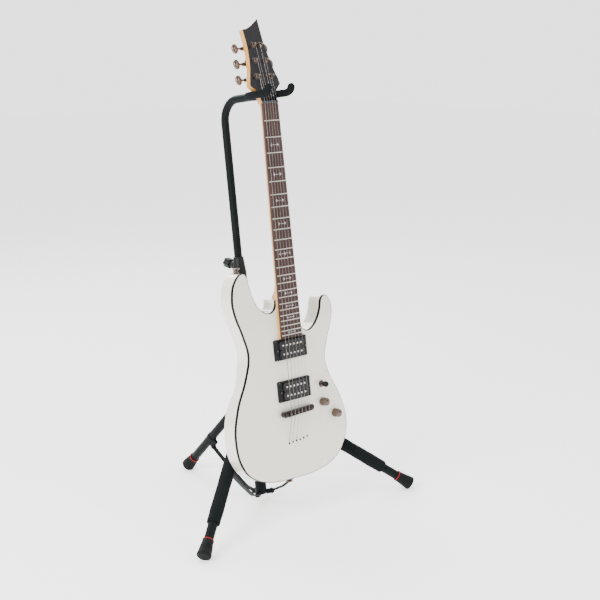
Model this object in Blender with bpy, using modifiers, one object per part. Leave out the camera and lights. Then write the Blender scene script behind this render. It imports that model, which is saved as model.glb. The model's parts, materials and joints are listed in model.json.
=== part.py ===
"""Six-string electric guitar hanging in the padded fork of a folding tripod stand.

Metres, +Z up. The guitar faces -Y and its treble side is at +X. The stand's column leans back, and three
frames follow from it: the column's own, one at each leg, and the guitar's own, whose origin is on the fret
plane at the nut. The row's origin is the middle of the footprint, on the floor.
"""

import math

import bmesh
import bpy
from mathutils import Matrix, Vector

# Stand
LEAN = math.radians(7.8)
HUB_CLEARANCE = 0.0142
HUB_RADIUS = 0.01275
HUB_HEIGHT = 0.030
LOWER_TUBE_RADIUS = 0.011
LOWER_TUBE_TOP = 0.503
UPPER_TUBE_RADIUS = 0.00875
UPPER_TUBE_BOTTOM = 0.350
TUBE_WALL = 0.0012
GAP = 0.0003

ARM_BEND_START = 0.8266
ARM_BEND_RADIUS = 0.047
ARM_TURN = math.radians(90)
ARM_REACH = 0.1000

CLAMP_BOTTOM = 0.468
CLAMP_TOP = 0.535
CLAMP_RADIUS = 0.0148
CLAMP_SCREW_HEIGHT = 0.512
CLAMP_SCREW_RISE = math.radians(15)

APEX_HEIGHT = 0.2371
LEG_ANGLE = math.radians(52.7)
LEG_RADIUS = 0.010
LEG_STATIONS = {"rear": 90, "left": 210, "right": 330}
FRONT_LEG_END = 0.437
REAR_LEG_END = 0.3395
PIVOT_RADIUS = 0.024
BOOT_LENGTH = 0.037
BOOT_RADIUS = 0.0155
FRONT_TOE = 0.01048
REAR_TOE = 0.00775
FOAM_START = 0.150
FOAM_END = 0.358
FOAM_RADIUS = 0.0145
BRACKET_AT = 0.2165
BRACKET_DROP = 0.020
STRUT_WIDTH = 0.010
STRUT_THICKNESS = 0.003
CROWN_BOTTOM = 0.2115
CROWN_TOP = 0.250
CROWN_RADIUS = 0.0165
CROWN_KNOB_AZIMUTH = 150
CROWN_KNOB_HEIGHT = 0.2300

FORK_HEIGHT = 0.8738
FORK_HALF_WIDTH = 0.0340
FORK_BACK = 0.1165
FORK_ROD_RADIUS = 0.004
FORK_PAD_RADIUS = 0.00775

# Guitar
NUT_HEIGHT = 0.8558
FRET_PLANE_FORWARD = 0.1572
SCALE_LENGTH = 0.6477
FRET_COUNT = 24
NUT_HALF_WIDTH = 0.0212
BOARD_END = 0.4925
BOARD_END_HALF_WIDTH = 0.0286
BOARD_TOP = 0.001
BOARD_BOTTOM = 0.007
BODY_FACE = 0.0133
BODY_THICKNESS = 0.043
BODY_BACK = BODY_FACE + BODY_THICKNESS
BINDING_DEPTH = 0.005
BINDING_WIDTH = 0.0016
POCKET_DEPTH = 0.016
NECK_DEPTH_AT_NUT = 0.0135
NECK_DEPTH_AT_HEEL = 0.0155
HEEL_START = 0.400
HEAD_TILT = math.radians(12.5)
HEAD_THICKNESS = 0.014
HEAD_START = 0.0045
HEAD_FACE = 0.004
RING_LENGTH = 0.091
RING_HEIGHT = 0.045
RING_THICKNESS = 0.006
PICKUP_LENGTH = 0.069
PICKUP_HEIGHT = 0.037
NECK_PICKUP_AT = 0.5163
BRIDGE_PICKUP_AT = 0.6052
BRIDGE_AT = 0.6525
BRIDGE_SLANT = math.radians(1.6)
BRIDGE_POST_SPREAD = 0.037
STRING_HALF_SPREAD_NUT = 0.0175
STRING_HALF_SPREAD_BRIDGE = 0.026
STRING_DIAMETERS = (0.00117, 0.00091, 0.00066, 0.00043, 0.00033, 0.00025)
FERRULE_AT = 0.7165
POST_PLACES = ((0.0196, 0.0525), (0.0150, 0.0865), (0.0098, 0.1200))
BUTTON_REACH = 0.0305
BUTTON_DEPTH = 0.0225
VOLUME_PLACE = (0.0790, 0.6480)
TONE_PLACE = (0.1120, 0.6795)
SWITCH_PLACE = (0.0805, 0.6090)
JACK_PLACE = (0.1335, 0.7440)
JACK_ANGLE = math.radians(-40)

# Body outline: across, then down from the nut, in metres. "corner" keeps a point sharp.
BODY_OUTLINE = (
    (-0.0274, 0.4090, "corner"), (-0.0285, 0.4215), (-0.0365, 0.4325), (-0.0494, 0.4352),
    (-0.0690, 0.4255), (-0.0847, 0.4037), (-0.0945, 0.3724), (-0.1000, 0.3500), (-0.1075, 0.3435),
    (-0.1285, 0.3560), (-0.1415, 0.3950), (-0.1385, 0.4250), (-0.1225, 0.4723), (-0.1128, 0.5166),
    (-0.1255, 0.5615), (-0.1545, 0.6223), (-0.1670, 0.6850), (-0.1525, 0.7480), (-0.1280, 0.7735),
    (-0.0920, 0.7885), (-0.0200, 0.7960), (0.0600, 0.7930), (0.0980, 0.7810), (0.1290, 0.7545),
    (0.1460, 0.7050), (0.1335, 0.6459), (0.1050, 0.5850), (0.0985, 0.5500), (0.1080, 0.5182),
    (0.1265, 0.4720), (0.1310, 0.4470), (0.1245, 0.4270), (0.1150, 0.4180), (0.1050, 0.4215),
    (0.0955, 0.4477), (0.0853, 0.4665), (0.0699, 0.4815), (0.0575, 0.4866), (0.0440, 0.4815),
    (0.0350, 0.4680), (0.0310, 0.4560, "corner"),
)

# Head outline: across, then up the tilted face from the nut.
HEAD_OUTLINE = (
    (-0.0212, -0.0030, "corner"), (-0.0228, 0.0100), (-0.0266, 0.0215, "corner"), (-0.0415, 0.0335, "corner"),
    (-0.0375, 0.0480), (-0.0300, 0.0720), (-0.0262, 0.0960), (-0.0246, 0.1200),
    (-0.0262, 0.1540, "corner"), (-0.0160, 0.1555), (0.0195, 0.1770, "corner"),
    (0.0203, 0.1500), (0.0222, 0.1200), (0.0262, 0.0960), (0.0320, 0.0680), (0.0405, 0.0358, "corner"),
    (0.0262, 0.0222, "corner"), (0.0228, 0.0100), (0.0212, -0.0030, "corner"),
)

# Strut centreline from its leg pin to the hub, as (distance from the column's axis, height).
STRUT_PATH = (
    (0.1590, 0.0935), (0.1565, 0.0865), (0.1250, 0.0620), (0.0870, 0.0345), (0.0540, 0.0125), (0.0450, 0.0092),
    (0.0240, 0.0040),
)


# Scene and materials


def clear_scene():
    for item in list(bpy.data.objects):
        bpy.data.objects.remove(item, do_unlink=True)


def new_collection(name):
    group = bpy.data.collections.new(name)
    bpy.context.scene.collection.children.link(group)
    return group


def finish(name, colour, roughness, metallic):
    made = bpy.data.materials.new(name)
    made.use_nodes = True
    shader = made.node_tree.nodes["Principled BSDF"]
    shader.inputs["Base Color"].default_value = (*colour, 1)
    shader.inputs["Roughness"].default_value = roughness
    shader.inputs["Metallic"].default_value = metallic
    made.diffuse_color = (*colour, 1)
    return made


def make_finishes():
    return {
        "black_steel": finish("black_steel", (0.022, 0.026, 0.027), 0.45, 0.3),
        "black_plastic": finish("black_plastic", (0.018, 0.018, 0.019), 0.5, 0.0),
        "foam": finish("foam", (0.012, 0.013, 0.013), 0.95, 0.0),
        "rubber": finish("rubber", (0.020, 0.020, 0.021), 0.8, 0.0),
        "white_lacquer": finish("white_lacquer", (0.78, 0.76, 0.70), 0.15, 0.0),
        "black_binding": finish("black_binding", (0.02, 0.02, 0.02), 0.3, 0.0),
        "maple": finish("maple", (0.72, 0.48, 0.20), 0.3, 0.0),
        "rosewood": finish("rosewood", (0.085, 0.040, 0.030), 0.55, 0.0),
        "dark_nickel": finish("dark_nickel", (0.20, 0.17, 0.15), 0.25, 1.0),
        "string_steel": finish("string_steel", (0.60, 0.58, 0.55), 0.3, 1.0),
    }


# Object builders


def add_object(name, mesh, parent, location=(0, 0, 0), rotation=(0, 0, 0), look="black_steel"):
    """A named part. Its origin is the joint's axis where the part moves."""
    made = bpy.data.objects.new(name, mesh)
    PARTS.objects.link(made)
    made.parent = parent
    made.location = location
    made.rotation_euler = rotation
    mesh.materials.clear()
    mesh.materials.append(FINISHES[look])
    mesh.shade_smooth()
    mesh.set_sharp_from_angle(angle=math.radians(35))
    return made


def add_tool(name, mesh, parent, location=(0, 0, 0), rotation=(0, 0, 0)):
    """A helper that only joins or cuts."""
    made = bpy.data.objects.new(name, mesh)
    TOOLS.objects.link(made)
    made.parent = parent
    made.location = location
    made.rotation_euler = rotation
    made.hide_render = True
    made.display_type = "WIRE"
    return made


def add_frame(name, parent, location=(0, 0, 0), rotation=(0, 0, 0)):
    made = bpy.data.objects.new(name, None)
    PARTS.objects.link(made)
    made.parent = parent
    made.location = location
    made.rotation_euler = rotation
    return made


def combine(target, tool, operation):
    step = target.modifiers.new(f"{operation.lower()}_{tool.name}", "BOOLEAN")
    step.operation = operation
    step.solver = "EXACT"
    step.object = tool


def join(target, *tools):
    for tool in tools:
        combine(target, tool, "UNION")


def cut(target, *tools):
    for tool in tools:
        combine(target, tool, "DIFFERENCE")


def between(start, end):
    """The matrix that lays a shape's Z axis from start to end, centred between them."""
    start, end = Vector(start), Vector(end)
    turn = (end - start).to_track_quat("Z", "Y").to_matrix().to_4x4()
    return Matrix.Translation((start + end) / 2) @ turn


class Shape:
    """Closed primitives gathered in one mesh. They stay clear of each other."""

    def __init__(self):
        self.bm = bmesh.new()

    def block(self, low, high, bevel=0.0, segments=2):
        low, high = Vector(low), Vector(high)
        size = high - low
        place = Matrix.Translation((low + high) / 2) @ Matrix.Diagonal((*size, 1))
        made = bmesh.ops.create_cube(self.bm, size=1, matrix=place)
        if bevel:
            edges = list({edge for vert in made["verts"] for edge in vert.link_edges})
            bmesh.ops.bevel(self.bm, geom=edges, offset=bevel, segments=segments, profile=0.5, affect="EDGES")
        return self

    def rod(self, start, end, radius, end_radius=None, sides=16):
        bmesh.ops.create_cone(
            self.bm, cap_ends=True, segments=sides, radius1=radius,
            radius2=radius if end_radius is None else end_radius,
            depth=(Vector(end) - Vector(start)).length, matrix=between(start, end),
        )
        return self

    def ball(self, centre, radii, rings=12, sides=20):
        place = Matrix.Translation(centre) @ Matrix.Diagonal((*radii, 1))
        bmesh.ops.create_uvsphere(self.bm, u_segments=sides, v_segments=rings, radius=1, matrix=place)
        return self

    def mesh(self, name):
        made = bpy.data.meshes.new(name)
        self.bm.to_mesh(made)
        self.bm.free()
        return made


def turned(mesh_name, profile, steps=24):
    """A mesh holding the profile (radius, height). lathe() turns it round Z."""
    made = bpy.data.meshes.new(mesh_name)
    closed = profile[0][0] > 0
    points = [(radius, 0, height) for radius, height in profile]
    edges = [(i, i + 1) for i in range(len(points) - 1)]
    if closed:
        edges.append((len(points) - 1, 0))
    made.from_pydata(points, edges, [])
    made["steps"] = steps
    return made


def lathe(item):
    step = item.modifiers.new("lathe", "SCREW")
    step.axis = "Z"
    step.steps = item.data["steps"]
    step.render_steps = step.steps
    step.use_merge_vertices = True
    step.merge_threshold = 0.00001
    return item


def ring_profile(outer, inner, bottom, top):
    """A tube's wall, down its outer side and up its inner one."""
    return [(outer, top), (outer, bottom), (inner, bottom), (inner, top)]


def mesh_of(curve):
    """The curve's solid as a mesh with its caps welded."""
    item = bpy.data.objects.new("curve_source", curve)
    bpy.context.scene.collection.objects.link(item)
    graph = bpy.context.evaluated_depsgraph_get()
    made = bpy.data.meshes.new_from_object(item.evaluated_get(graph))
    bpy.data.objects.remove(item)
    bm = bmesh.new()
    bm.from_mesh(made)
    bmesh.ops.remove_doubles(bm, verts=bm.verts, dist=0.000005)
    bmesh.ops.recalc_face_normals(bm, faces=bm.faces)
    bm.to_mesh(made)
    bm.free()
    return made


def outline_curve(name, points, resolution):
    """A flat closed Bezier outline. A point with "corner" is sharp."""
    curve = bpy.data.curves.new(name, "CURVE")
    curve.dimensions = "2D"
    curve.fill_mode = "BOTH"
    curve.resolution_u = resolution
    spline = curve.splines.new("BEZIER")
    spline.bezier_points.add(len(points) - 1)
    spline.use_cyclic_u = True
    for knot, point in zip(spline.bezier_points, points):
        knot.co = (point[0], point[1], 0)
        kind = "VECTOR" if len(point) > 2 else "AUTO"
        knot.handle_left_type = kind
        knot.handle_right_type = kind
    return curve


def slab(name, points, front, back, resolution=4):
    """An outline given as (across, up), made a plate between two depths behind the fret plane."""
    curve = outline_curve(name, points, resolution)
    curve.extrude = (back - front) / 2
    made = mesh_of(curve)
    made.transform(Matrix.Translation((0, (front + back) / 2, 0)) @ Matrix.Rotation(math.pi / 2, 4, "X"))
    bm = bmesh.new()
    bm.from_mesh(made)
    bmesh.ops.dissolve_limit(bm, angle_limit=math.radians(1), verts=bm.verts, edges=bm.edges)
    bm.to_mesh(made)
    bm.free()
    return made


def cap_at(bm, depth):
    """The plate's flat face at one depth."""
    return next(face for face in bm.faces if all(abs(vert.co.y - depth) < 0.00001 for vert in face.verts))


def stepped(mesh, front, rise, width):
    """Raises the plate's front face by a rise, set in from the edge by a width."""
    bm = bmesh.new()
    bm.from_mesh(mesh)
    face = cap_at(bm, front)
    bmesh.ops.inset_region(bm, faces=[face], thickness=width, use_even_offset=True)
    made = bmesh.ops.extrude_discrete_faces(bm, faces=[face])["faces"]
    bmesh.ops.translate(bm, vec=(0, -rise, 0), verts=made[0].verts)
    bm.to_mesh(mesh)
    bm.free()
    return mesh


def hollowed(mesh, front, back, width):
    """Leaves only a band of one width along the plate's edge."""
    bm = bmesh.new()
    bm.from_mesh(mesh)
    caps = [cap_at(bm, front), cap_at(bm, back)]
    for cap in caps:
        bmesh.ops.inset_region(bm, faces=[cap], thickness=width, use_even_offset=True)
    rims = [edge for cap in caps for edge in cap.edges]
    bmesh.ops.delete(bm, geom=caps, context="FACES_ONLY")
    bmesh.ops.bridge_loops(bm, edges=rims)
    bmesh.ops.recalc_face_normals(bm, faces=bm.faces)
    bm.to_mesh(mesh)
    bm.free()
    return mesh


def rounded_rectangle(half_width, half_height, radius, centre=(0, 0)):
    """Outline points of a rectangle whose corners are arcs."""
    points = []
    for sign_x, sign_y, first in ((1, 1, 0), (-1, 1, 90), (-1, -1, 180), (1, -1, 270)):
        for step in range(5):
            angle = math.radians(first + step * 22.5)
            points.append((
                centre[0] + sign_x * (half_width - radius) + radius * math.cos(angle),
                centre[1] + sign_y * (half_height - radius) + radius * math.sin(angle),
                "corner",
            ))
    return points


def round_rim(mesh, depth, width, segments=2):
    """Rounds the plate's rim edge that lies at one depth."""
    bm = bmesh.new()
    bm.from_mesh(mesh)
    rim = [
        edge for edge in bm.edges
        if all(abs(vert.co.y - depth) < 0.00001 for vert in edge.verts)
    ]
    bmesh.ops.bevel(bm, geom=rim, offset=width, segments=segments, profile=0.5, affect="EDGES")
    bm.to_mesh(mesh)
    bm.free()
    return mesh


def through(points, steps):
    """Points along the smooth curve that passes through each given point."""
    knots = [Vector(p) for p in points]
    knots = [2 * knots[0] - knots[1], *knots, 2 * knots[-1] - knots[-2]]
    path = []
    for before, start, end, after in zip(knots, knots[1:], knots[2:], knots[3:]):
        for step in range(steps):
            t = step / steps
            path.append(
                0.5 * (2 * start + (end - before) * t + (2 * before - 5 * start + 4 * end - after) * t * t
                       + (3 * start - before - 3 * end + after) * t ** 3)
            )
    return [*path, knots[-2]]


def wire(name, path, radius, resolution=2, caps=True):
    """A round bar or tube along a list of points."""
    curve = bpy.data.curves.new(name, "CURVE")
    curve.dimensions = "3D"
    curve.bevel_depth = radius
    curve.bevel_resolution = resolution
    curve.use_fill_caps = caps
    spline = curve.splines.new("POLY")
    spline.points.add(len(path) - 1)
    for knot, point in zip(spline.points, path):
        knot.co = (*point, 1)
    return mesh_of(curve)


# Stand


def footprint_shift():
    """How far the column's foot sits from the middle of the footprint."""
    def reach(end, azimuth):
        run = end * math.sin(LEG_ANGLE)
        rise = APEX_HEIGHT - end * math.cos(LEG_ANGLE)
        across = math.sin(math.radians(azimuth)) * run
        return across * math.cos(LEAN) + rise * math.sin(LEAN)

    front = reach(FRONT_LEG_END, LEG_STATIONS["left"]) - FRONT_TOE
    rear = reach(REAR_LEG_END, LEG_STATIONS["rear"]) + REAR_TOE
    return -(front + rear) / 2


def build_lower_column(column):
    profile = ring_profile(LOWER_TUBE_RADIUS, LOWER_TUBE_RADIUS - TUBE_WALL, 0.0038, LOWER_TUBE_TOP)
    lathe(add_object("lower_column", turned("lower_column", profile, 18), column))


def build_base_hub(column):
    bore = LOWER_TUBE_RADIUS + GAP
    profile = [
        (0, 0.0035), (bore, 0.0035), (bore, HUB_HEIGHT), (HUB_RADIUS, HUB_HEIGHT),
        (HUB_RADIUS, 0.002), (HUB_RADIUS - 0.002, 0), (0, 0),
    ]
    hub = lathe(add_object("base_hub", turned("base_hub", profile, 18), column))
    ears = Shape()
    for azimuth in LEG_STATIONS.values():
        turn = Matrix.Rotation(math.radians(azimuth), 4, "Z")
        for side in (-1, 1):
            inner = side * (STRUT_THICKNESS / 2 + 0.0004)
            outer = inner + side * 0.002
            pin = Vector((0.024, 0, 0.004))
            ears.rod(turn @ (pin + Vector((0, inner, 0))), turn @ (pin + Vector((0, outer, 0))), 0.006, sides=12)
    webs = Shape()
    for azimuth in LEG_STATIONS.values():
        turn = Matrix.Rotation(math.radians(azimuth), 4, "Z")
        for side in (-1, 1):
            start = len(webs.bm.verts)
            middle = side * (STRUT_THICKNESS / 2 + 0.0014)
            webs.block((0.0115, middle - 0.0009, -0.0015), (0.0240, middle + 0.0009, 0.0090))
            webs.bm.verts.ensure_lookup_table()
            bmesh.ops.transform(webs.bm, matrix=turn, verts=webs.bm.verts[start:])
    join(hub, add_tool("hub_ears", ears.mesh("hub_ears"), column), add_tool("hub_webs", webs.mesh("hub_webs"), column))


def arm_path():
    """The upper tube's centreline: up, round the bend and forward."""
    path = [Vector((0, 0, UPPER_TUBE_BOTTOM)), Vector((0, 0, 0.6)), Vector((0, 0, ARM_BEND_START))]
    steps = 8
    for step in range(1, steps + 1):
        angle = ARM_TURN * step / steps
        path.append(Vector((
            0, -ARM_BEND_RADIUS * (1 - math.cos(angle)), ARM_BEND_START + ARM_BEND_RADIUS * math.sin(angle),
        )))
    heading = Vector((0, -math.sin(ARM_TURN), math.cos(ARM_TURN)))
    run = (ARM_REACH + path[-1].y) / math.sin(ARM_TURN)
    path.append(path[-1] + heading * run)
    return path, heading


def build_upper_column(column):
    path, _ = arm_path()
    tube = add_object("upper_column", wire("upper_column", path, UPPER_TUBE_RADIUS, 3, caps=False), column)
    wall = tube.modifiers.new("wall", "SOLIDIFY")
    wall.thickness = TUBE_WALL
    wall.offset = -1
    wall.use_even_offset = True


def clamp_screw_axis():
    return Vector((0, math.cos(CLAMP_SCREW_RISE), math.sin(CLAMP_SCREW_RISE)))


def build_height_clamp(column):
    lower_bore = LOWER_TUBE_RADIUS + GAP
    upper_bore = UPPER_TUBE_RADIUS + GAP
    shoulder = LOWER_TUBE_TOP + GAP
    profile = [
        (CLAMP_RADIUS - 0.0045, CLAMP_TOP), (CLAMP_RADIUS - 0.0036, CLAMP_TOP - 0.001), (CLAMP_RADIUS, CLAMP_TOP - 0.033),
        (CLAMP_RADIUS, CLAMP_BOTTOM),
        (lower_bore, CLAMP_BOTTOM), (lower_bore, shoulder), (upper_bore, shoulder), (upper_bore, CLAMP_TOP),
    ]
    clamp = lathe(add_object("height_clamp", turned("height_clamp", profile, 18), column, look="black_plastic"))
    axis = clamp_screw_axis()
    centre = Vector((0, 0, CLAMP_SCREW_HEIGHT))
    boss = Shape().rod(centre + axis * 0.0118, centre + axis * 0.0240, 0.0095, 0.0085, sides=16)
    hole = Shape().rod(centre + axis * 0.0050, centre + axis * 0.0300, 0.0034, sides=12)
    join(clamp, add_tool("clamp_boss", boss.mesh("boss"), column))
    cut(clamp, add_tool("clamp_screw_hole", hole.mesh("clamp_screw_hole"), column))


def knob_mesh(name, shank_start, shank_radius, head_start, head_end, head_radius, lobes):
    """A lobed grip on a screw, along Z."""
    knob = bmesh.new()
    bmesh.ops.create_cone(
        knob, cap_ends=True, segments=lobes * 2, radius1=head_radius, radius2=head_radius,
        depth=head_end - head_start, matrix=Matrix.Translation((0, 0, (head_start + head_end) / 2)),
    )
    for vert in knob.verts:
        angle = math.atan2(vert.co.y, vert.co.x)
        if round(angle / (math.pi / lobes)) % 2:
            vert.co.x *= 0.84
            vert.co.y *= 0.84
    caps = [face for face in knob.faces if len(face.verts) > 4]
    edges = list({edge for face in caps for edge in face.edges})
    bmesh.ops.bevel(knob, geom=edges, offset=0.0015, segments=1, profile=0.5, affect="EDGES")
    head = bpy.data.meshes.new(name)
    knob.to_mesh(head)
    knob.free()
    shank = Shape().rod((0, 0, shank_start), (0, 0, head_start + 0.003), shank_radius, sides=12).mesh(name + "_shank")
    return head, shank


def build_clamp_knob(column):
    axis = clamp_screw_axis()
    turn = axis.to_track_quat("Z", "X").to_euler()
    head, shank = knob_mesh("clamp_knob", 0.0105, 0.0030, 0.0245, 0.0465, 0.0115, 6)
    place = Vector((0, 0, CLAMP_SCREW_HEIGHT))
    knob = add_object("clamp_knob", head, column, place, turn, "black_plastic")
    join(knob, add_tool("clamp_knob_shank", shank, column, place, turn))


def pivot_height():
    return APEX_HEIGHT - PIVOT_RADIUS / math.tan(LEG_ANGLE)


def build_leg_crown(column):
    bore = LOWER_TUBE_RADIUS + GAP
    profile = ring_profile(CROWN_RADIUS, bore, CROWN_BOTTOM, CROWN_TOP)
    crown = lathe(add_object("leg_crown", turned("leg_crown", profile, 18), column, look="black_plastic"))
    height = pivot_height()
    discs = Shape()
    webs = Shape()
    pins = Shape()
    for azimuth in LEG_STATIONS.values():
        turn = Matrix.Rotation(math.radians(azimuth), 4, "Z")
        pivot = Vector((PIVOT_RADIUS, 0, height))
        pins.rod(turn @ (pivot + Vector((0, -0.0078, 0))), turn @ (pivot + Vector((0, 0.0078, 0))), 0.0024, sides=12)
        for side in (-1, 1):
            inner = Vector((0, side * 0.0034, 0))
            outer = Vector((0, side * 0.0064, 0))
            discs.rod(turn @ (pivot + inner), turn @ (pivot + outer), 0.0077, sides=12)
            start = len(webs.bm.verts)
            low = (0.0150, min(side * 0.0036, side * 0.0062), CROWN_BOTTOM + 0.0006)
            high = (PIVOT_RADIUS, max(side * 0.0036, side * 0.0062), CROWN_BOTTOM + 0.0145)
            webs.block(low, high)
            webs.bm.verts.ensure_lookup_table()
            bmesh.ops.transform(webs.bm, matrix=turn, verts=webs.bm.verts[start:])
    direction = crown_knob_direction()
    centre = Vector((0, 0, CROWN_KNOB_HEIGHT))
    boss = Shape().rod(centre + direction * 0.0150, centre + direction * 0.0210, 0.0065, sides=16)
    hole = Shape().rod(centre + direction * 0.0080, centre + direction * 0.0300, 0.0029, sides=12)
    join(
        crown, add_tool("crown_webs", webs.mesh("crown_webs"), column),
        add_tool("crown_discs", discs.mesh("crown_discs"), column),
        add_tool("crown_pins", pins.mesh("crown_pins"), column), add_tool("crown_boss", boss.mesh("boss"), column),
    )
    cut(crown, add_tool("crown_screw_hole", hole.mesh("crown_screw_hole"), column))


def crown_knob_direction():
    angle = math.radians(CROWN_KNOB_AZIMUTH)
    return Vector((math.cos(angle), math.sin(angle), 0))


def build_crown_knob(column):
    turn = crown_knob_direction().to_track_quat("Z", "Y").to_euler()
    head, shank = knob_mesh("crown_knob", 0.0117, 0.0025, 0.0215, 0.0375, 0.0080, 5)
    place = Vector((0, 0, CROWN_KNOB_HEIGHT))
    knob = add_object("crown_knob", head, column, place, turn, "black_plastic")
    join(knob, add_tool("crown_knob_shank", shank, column, place, turn))


def build_leg(name, end, station):
    """One leg from its crown pivot, with Z down the tube and X towards its underside."""
    pivot_s = PIVOT_RADIUS / math.sin(LEG_ANGLE)
    place = Vector((PIVOT_RADIUS, 0, pivot_height()))
    turn = (0, math.pi - LEG_ANGLE, 0)
    tube_end = end - pivot_s - 0.006
    inner = LEG_RADIUS - TUBE_WALL
    profile = [
        (0, 0.0104), (LEG_RADIUS - 0.001, 0.0104), (LEG_RADIUS, 0.0114), (LEG_RADIUS, tube_end), (inner, tube_end),
        (inner, 0.0134), (0, 0.0134),
    ]
    leg = lathe(add_object(f"leg_{name}", turned(f"leg_{name}", profile[::-1], 18), station, place, turn))
    tongue = Shape().rod((0, -0.003, 0), (0, 0.003, 0), 0.0072, sides=16).mesh("tongue_round")
    web = Shape().block((-0.0068, -0.0028, 0.0), (0.0068, 0.0028, 0.0122)).mesh("tongue_web")
    hole = Shape().rod((0, -0.006, 0), (0, 0.006, 0), 0.0028, sides=12).mesh("tongue_hole")
    at = BRACKET_AT - pivot_s
    half_gap = STRUT_THICKNESS / 2 + 0.0004
    ears = Shape()
    rivets = Shape()
    for side in (-1, 1):
        low_y, high_y = sorted((side * half_gap, side * (half_gap + 0.002)))
        ears.block((0.0088, low_y, at - 0.0180), (BRACKET_DROP + 0.0055, high_y, at + 0.0060), 0.0006, 1)
    rivets.rod((BRACKET_DROP, -0.0053, at), (BRACKET_DROP, 0.0053, at), 0.0019, sides=12)
    band_profile = ring_profile(LEG_RADIUS + 0.0010, LEG_RADIUS - 0.0005, at - 0.0160, at - 0.0050)
    band = lathe(add_tool(f"band_{name}", turned("band", band_profile, 18), station, place, turn))
    join(
        leg, band, add_tool(f"tongue_web_{name}", web, station, place, turn),
        add_tool(f"tongue_round_{name}", tongue, station, place, turn),
        add_tool(f"ears_{name}", ears.mesh("ears"), station, place, turn),
        add_tool(f"rivet_{name}", rivets.mesh("rivet"), station, place, turn),
    )
    cut(leg, add_tool(f"tongue_hole_{name}", hole, station, place, turn))
    return place, turn, pivot_s


def build_foot(name, end, pivot_s, station, place, turn, floor):
    """A rubber boot on the tube's end, with its sole cut flat at the floor."""
    base = end - pivot_s
    mouth = base - BOOT_LENGTH
    bore = LEG_RADIUS + GAP
    profile = [
        (0, base), (BOOT_RADIUS - 0.003, base), (BOOT_RADIUS - 0.0008, base - 0.001), (BOOT_RADIUS, base - 0.0035),
        (BOOT_RADIUS - 0.001, base - 0.010), (0.0130, base - 0.020), (0.0121, base - 0.029), (0.0119, mouth),
        (bore, mouth), (bore, base - 0.0055), (0, base - 0.0055),
    ]
    foot = lathe(add_object(f"foot_{name}", turned(f"foot_{name}", profile[::-1], 18), station, place, turn, "rubber"))
    foot.data.flip_normals()
    cut(foot, floor)


def build_foam(name, pivot_s, station, place, turn):
    bore = LEG_RADIUS + 0.0002
    profile = ring_profile(FOAM_RADIUS, bore, FOAM_START - pivot_s, FOAM_END - pivot_s)
    foam = lathe(add_object(f"foam_{name}", turned(f"foam_{name}", profile, 18), station, place, turn, "foam"))
    at = BRACKET_AT - pivot_s
    notch = Shape().block((0.0040, -0.0050, at - 0.0200), (0.0200, 0.0050, at + 0.0140)).mesh("foam_notch")
    relief = Shape().rod((0, 0, at - 0.0185), (0, 0, at - 0.0025), LEG_RADIUS + 0.0014, sides=18).mesh("foam_relief")
    cut(foam, add_tool(f"foam_notch_{name}", notch, station, place, turn))
    cut(foam, add_tool(f"foam_relief_{name}", relief, station, place, turn))


def build_strut(name, station):
    """A flat bar from the leg's bracket to the hub. Its origin is the bracket's rivet."""
    pivot_s = PIVOT_RADIUS / math.sin(LEG_ANGLE)
    down = Vector((math.sin(LEG_ANGLE), 0, -math.cos(LEG_ANGLE)))
    under = Vector((-math.cos(LEG_ANGLE), 0, -math.sin(LEG_ANGLE)))
    pin = Vector((PIVOT_RADIUS, 0, pivot_height())) + down * (BRACKET_AT - pivot_s) + under * BRACKET_DROP
    curve = bpy.data.curves.new("strut", "CURVE")
    curve.dimensions = "3D"
    curve.extrude = STRUT_THICKNESS / 2
    spline = curve.splines.new("POLY")
    spline.points.add(len(STRUT_PATH) - 1)
    path = [pin, *[Vector((r, 0, z)) for r, z in STRUT_PATH[1:]]]
    for knot, point in zip(spline.points, path):
        knot.co = (point.x - pin.x, point.z - pin.z, 0, 1)
    curve.dimensions = "2D"
    curve.fill_mode = "NONE"
    ribbon = mesh_of(curve)
    ribbon.transform(Matrix.Rotation(math.pi / 2, 4, "X"))
    strut = add_object(f"strut_{name}", ribbon, station, pin)
    width = strut.modifiers.new("width", "SOLIDIFY")
    width.thickness = STRUT_WIDTH
    width.offset = 0
    width.use_even_offset = True
    half = STRUT_THICKNESS / 2
    end = path[-1] - pin
    eyes = Shape().rod((0, -half, 0), (0, half, 0), 0.0060, sides=16)
    eyes.rod(end + Vector((0, -half, 0)), end + Vector((0, half, 0)), 0.0055, sides=16)
    hole = Shape().rod((0, -0.01, 0), (0, 0.01, 0), 0.0023, sides=12)
    join(strut, add_tool(f"strut_eyes_{name}", eyes.mesh("strut_eyes"), station, pin))
    cut(strut, add_tool(f"strut_hole_{name}", hole.mesh("strut_hole"), station, pin))


def build_legs(column, floor):
    for name, azimuth in LEG_STATIONS.items():
        station = add_frame(f"station_{name}", column, rotation=(0, 0, math.radians(azimuth)))
        end = REAR_LEG_END if name == "rear" else FRONT_LEG_END
        place, turn, pivot_s = build_leg(name, end, station)
        build_foot(name, end, pivot_s, station, place, turn, floor)
        build_strut(name, station)
        if name != "rear":
            build_foam(name, pivot_s, station, place, turn)


def prong_path(side):
    """One prong's centreline from the fork's middle to its upturned tip."""
    width = FORK_HALF_WIDTH
    points = (
        (0.0000, -FORK_BACK, FORK_HEIGHT), (0.0190, -FORK_BACK, FORK_HEIGHT),
        (0.0300, -FORK_BACK - 0.0045, FORK_HEIGHT), (width, -FORK_BACK - 0.0160, FORK_HEIGHT),
        (width, -0.1500, FORK_HEIGHT), (width - 0.0012, -0.1715, FORK_HEIGHT),
        (width - 0.0024, -0.1850, FORK_HEIGHT + 0.0045), (width - 0.0030, -0.1922, FORK_HEIGHT + 0.0172),
    )
    return through([(side * x, y, z) for x, y, z in points], 3)


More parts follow.
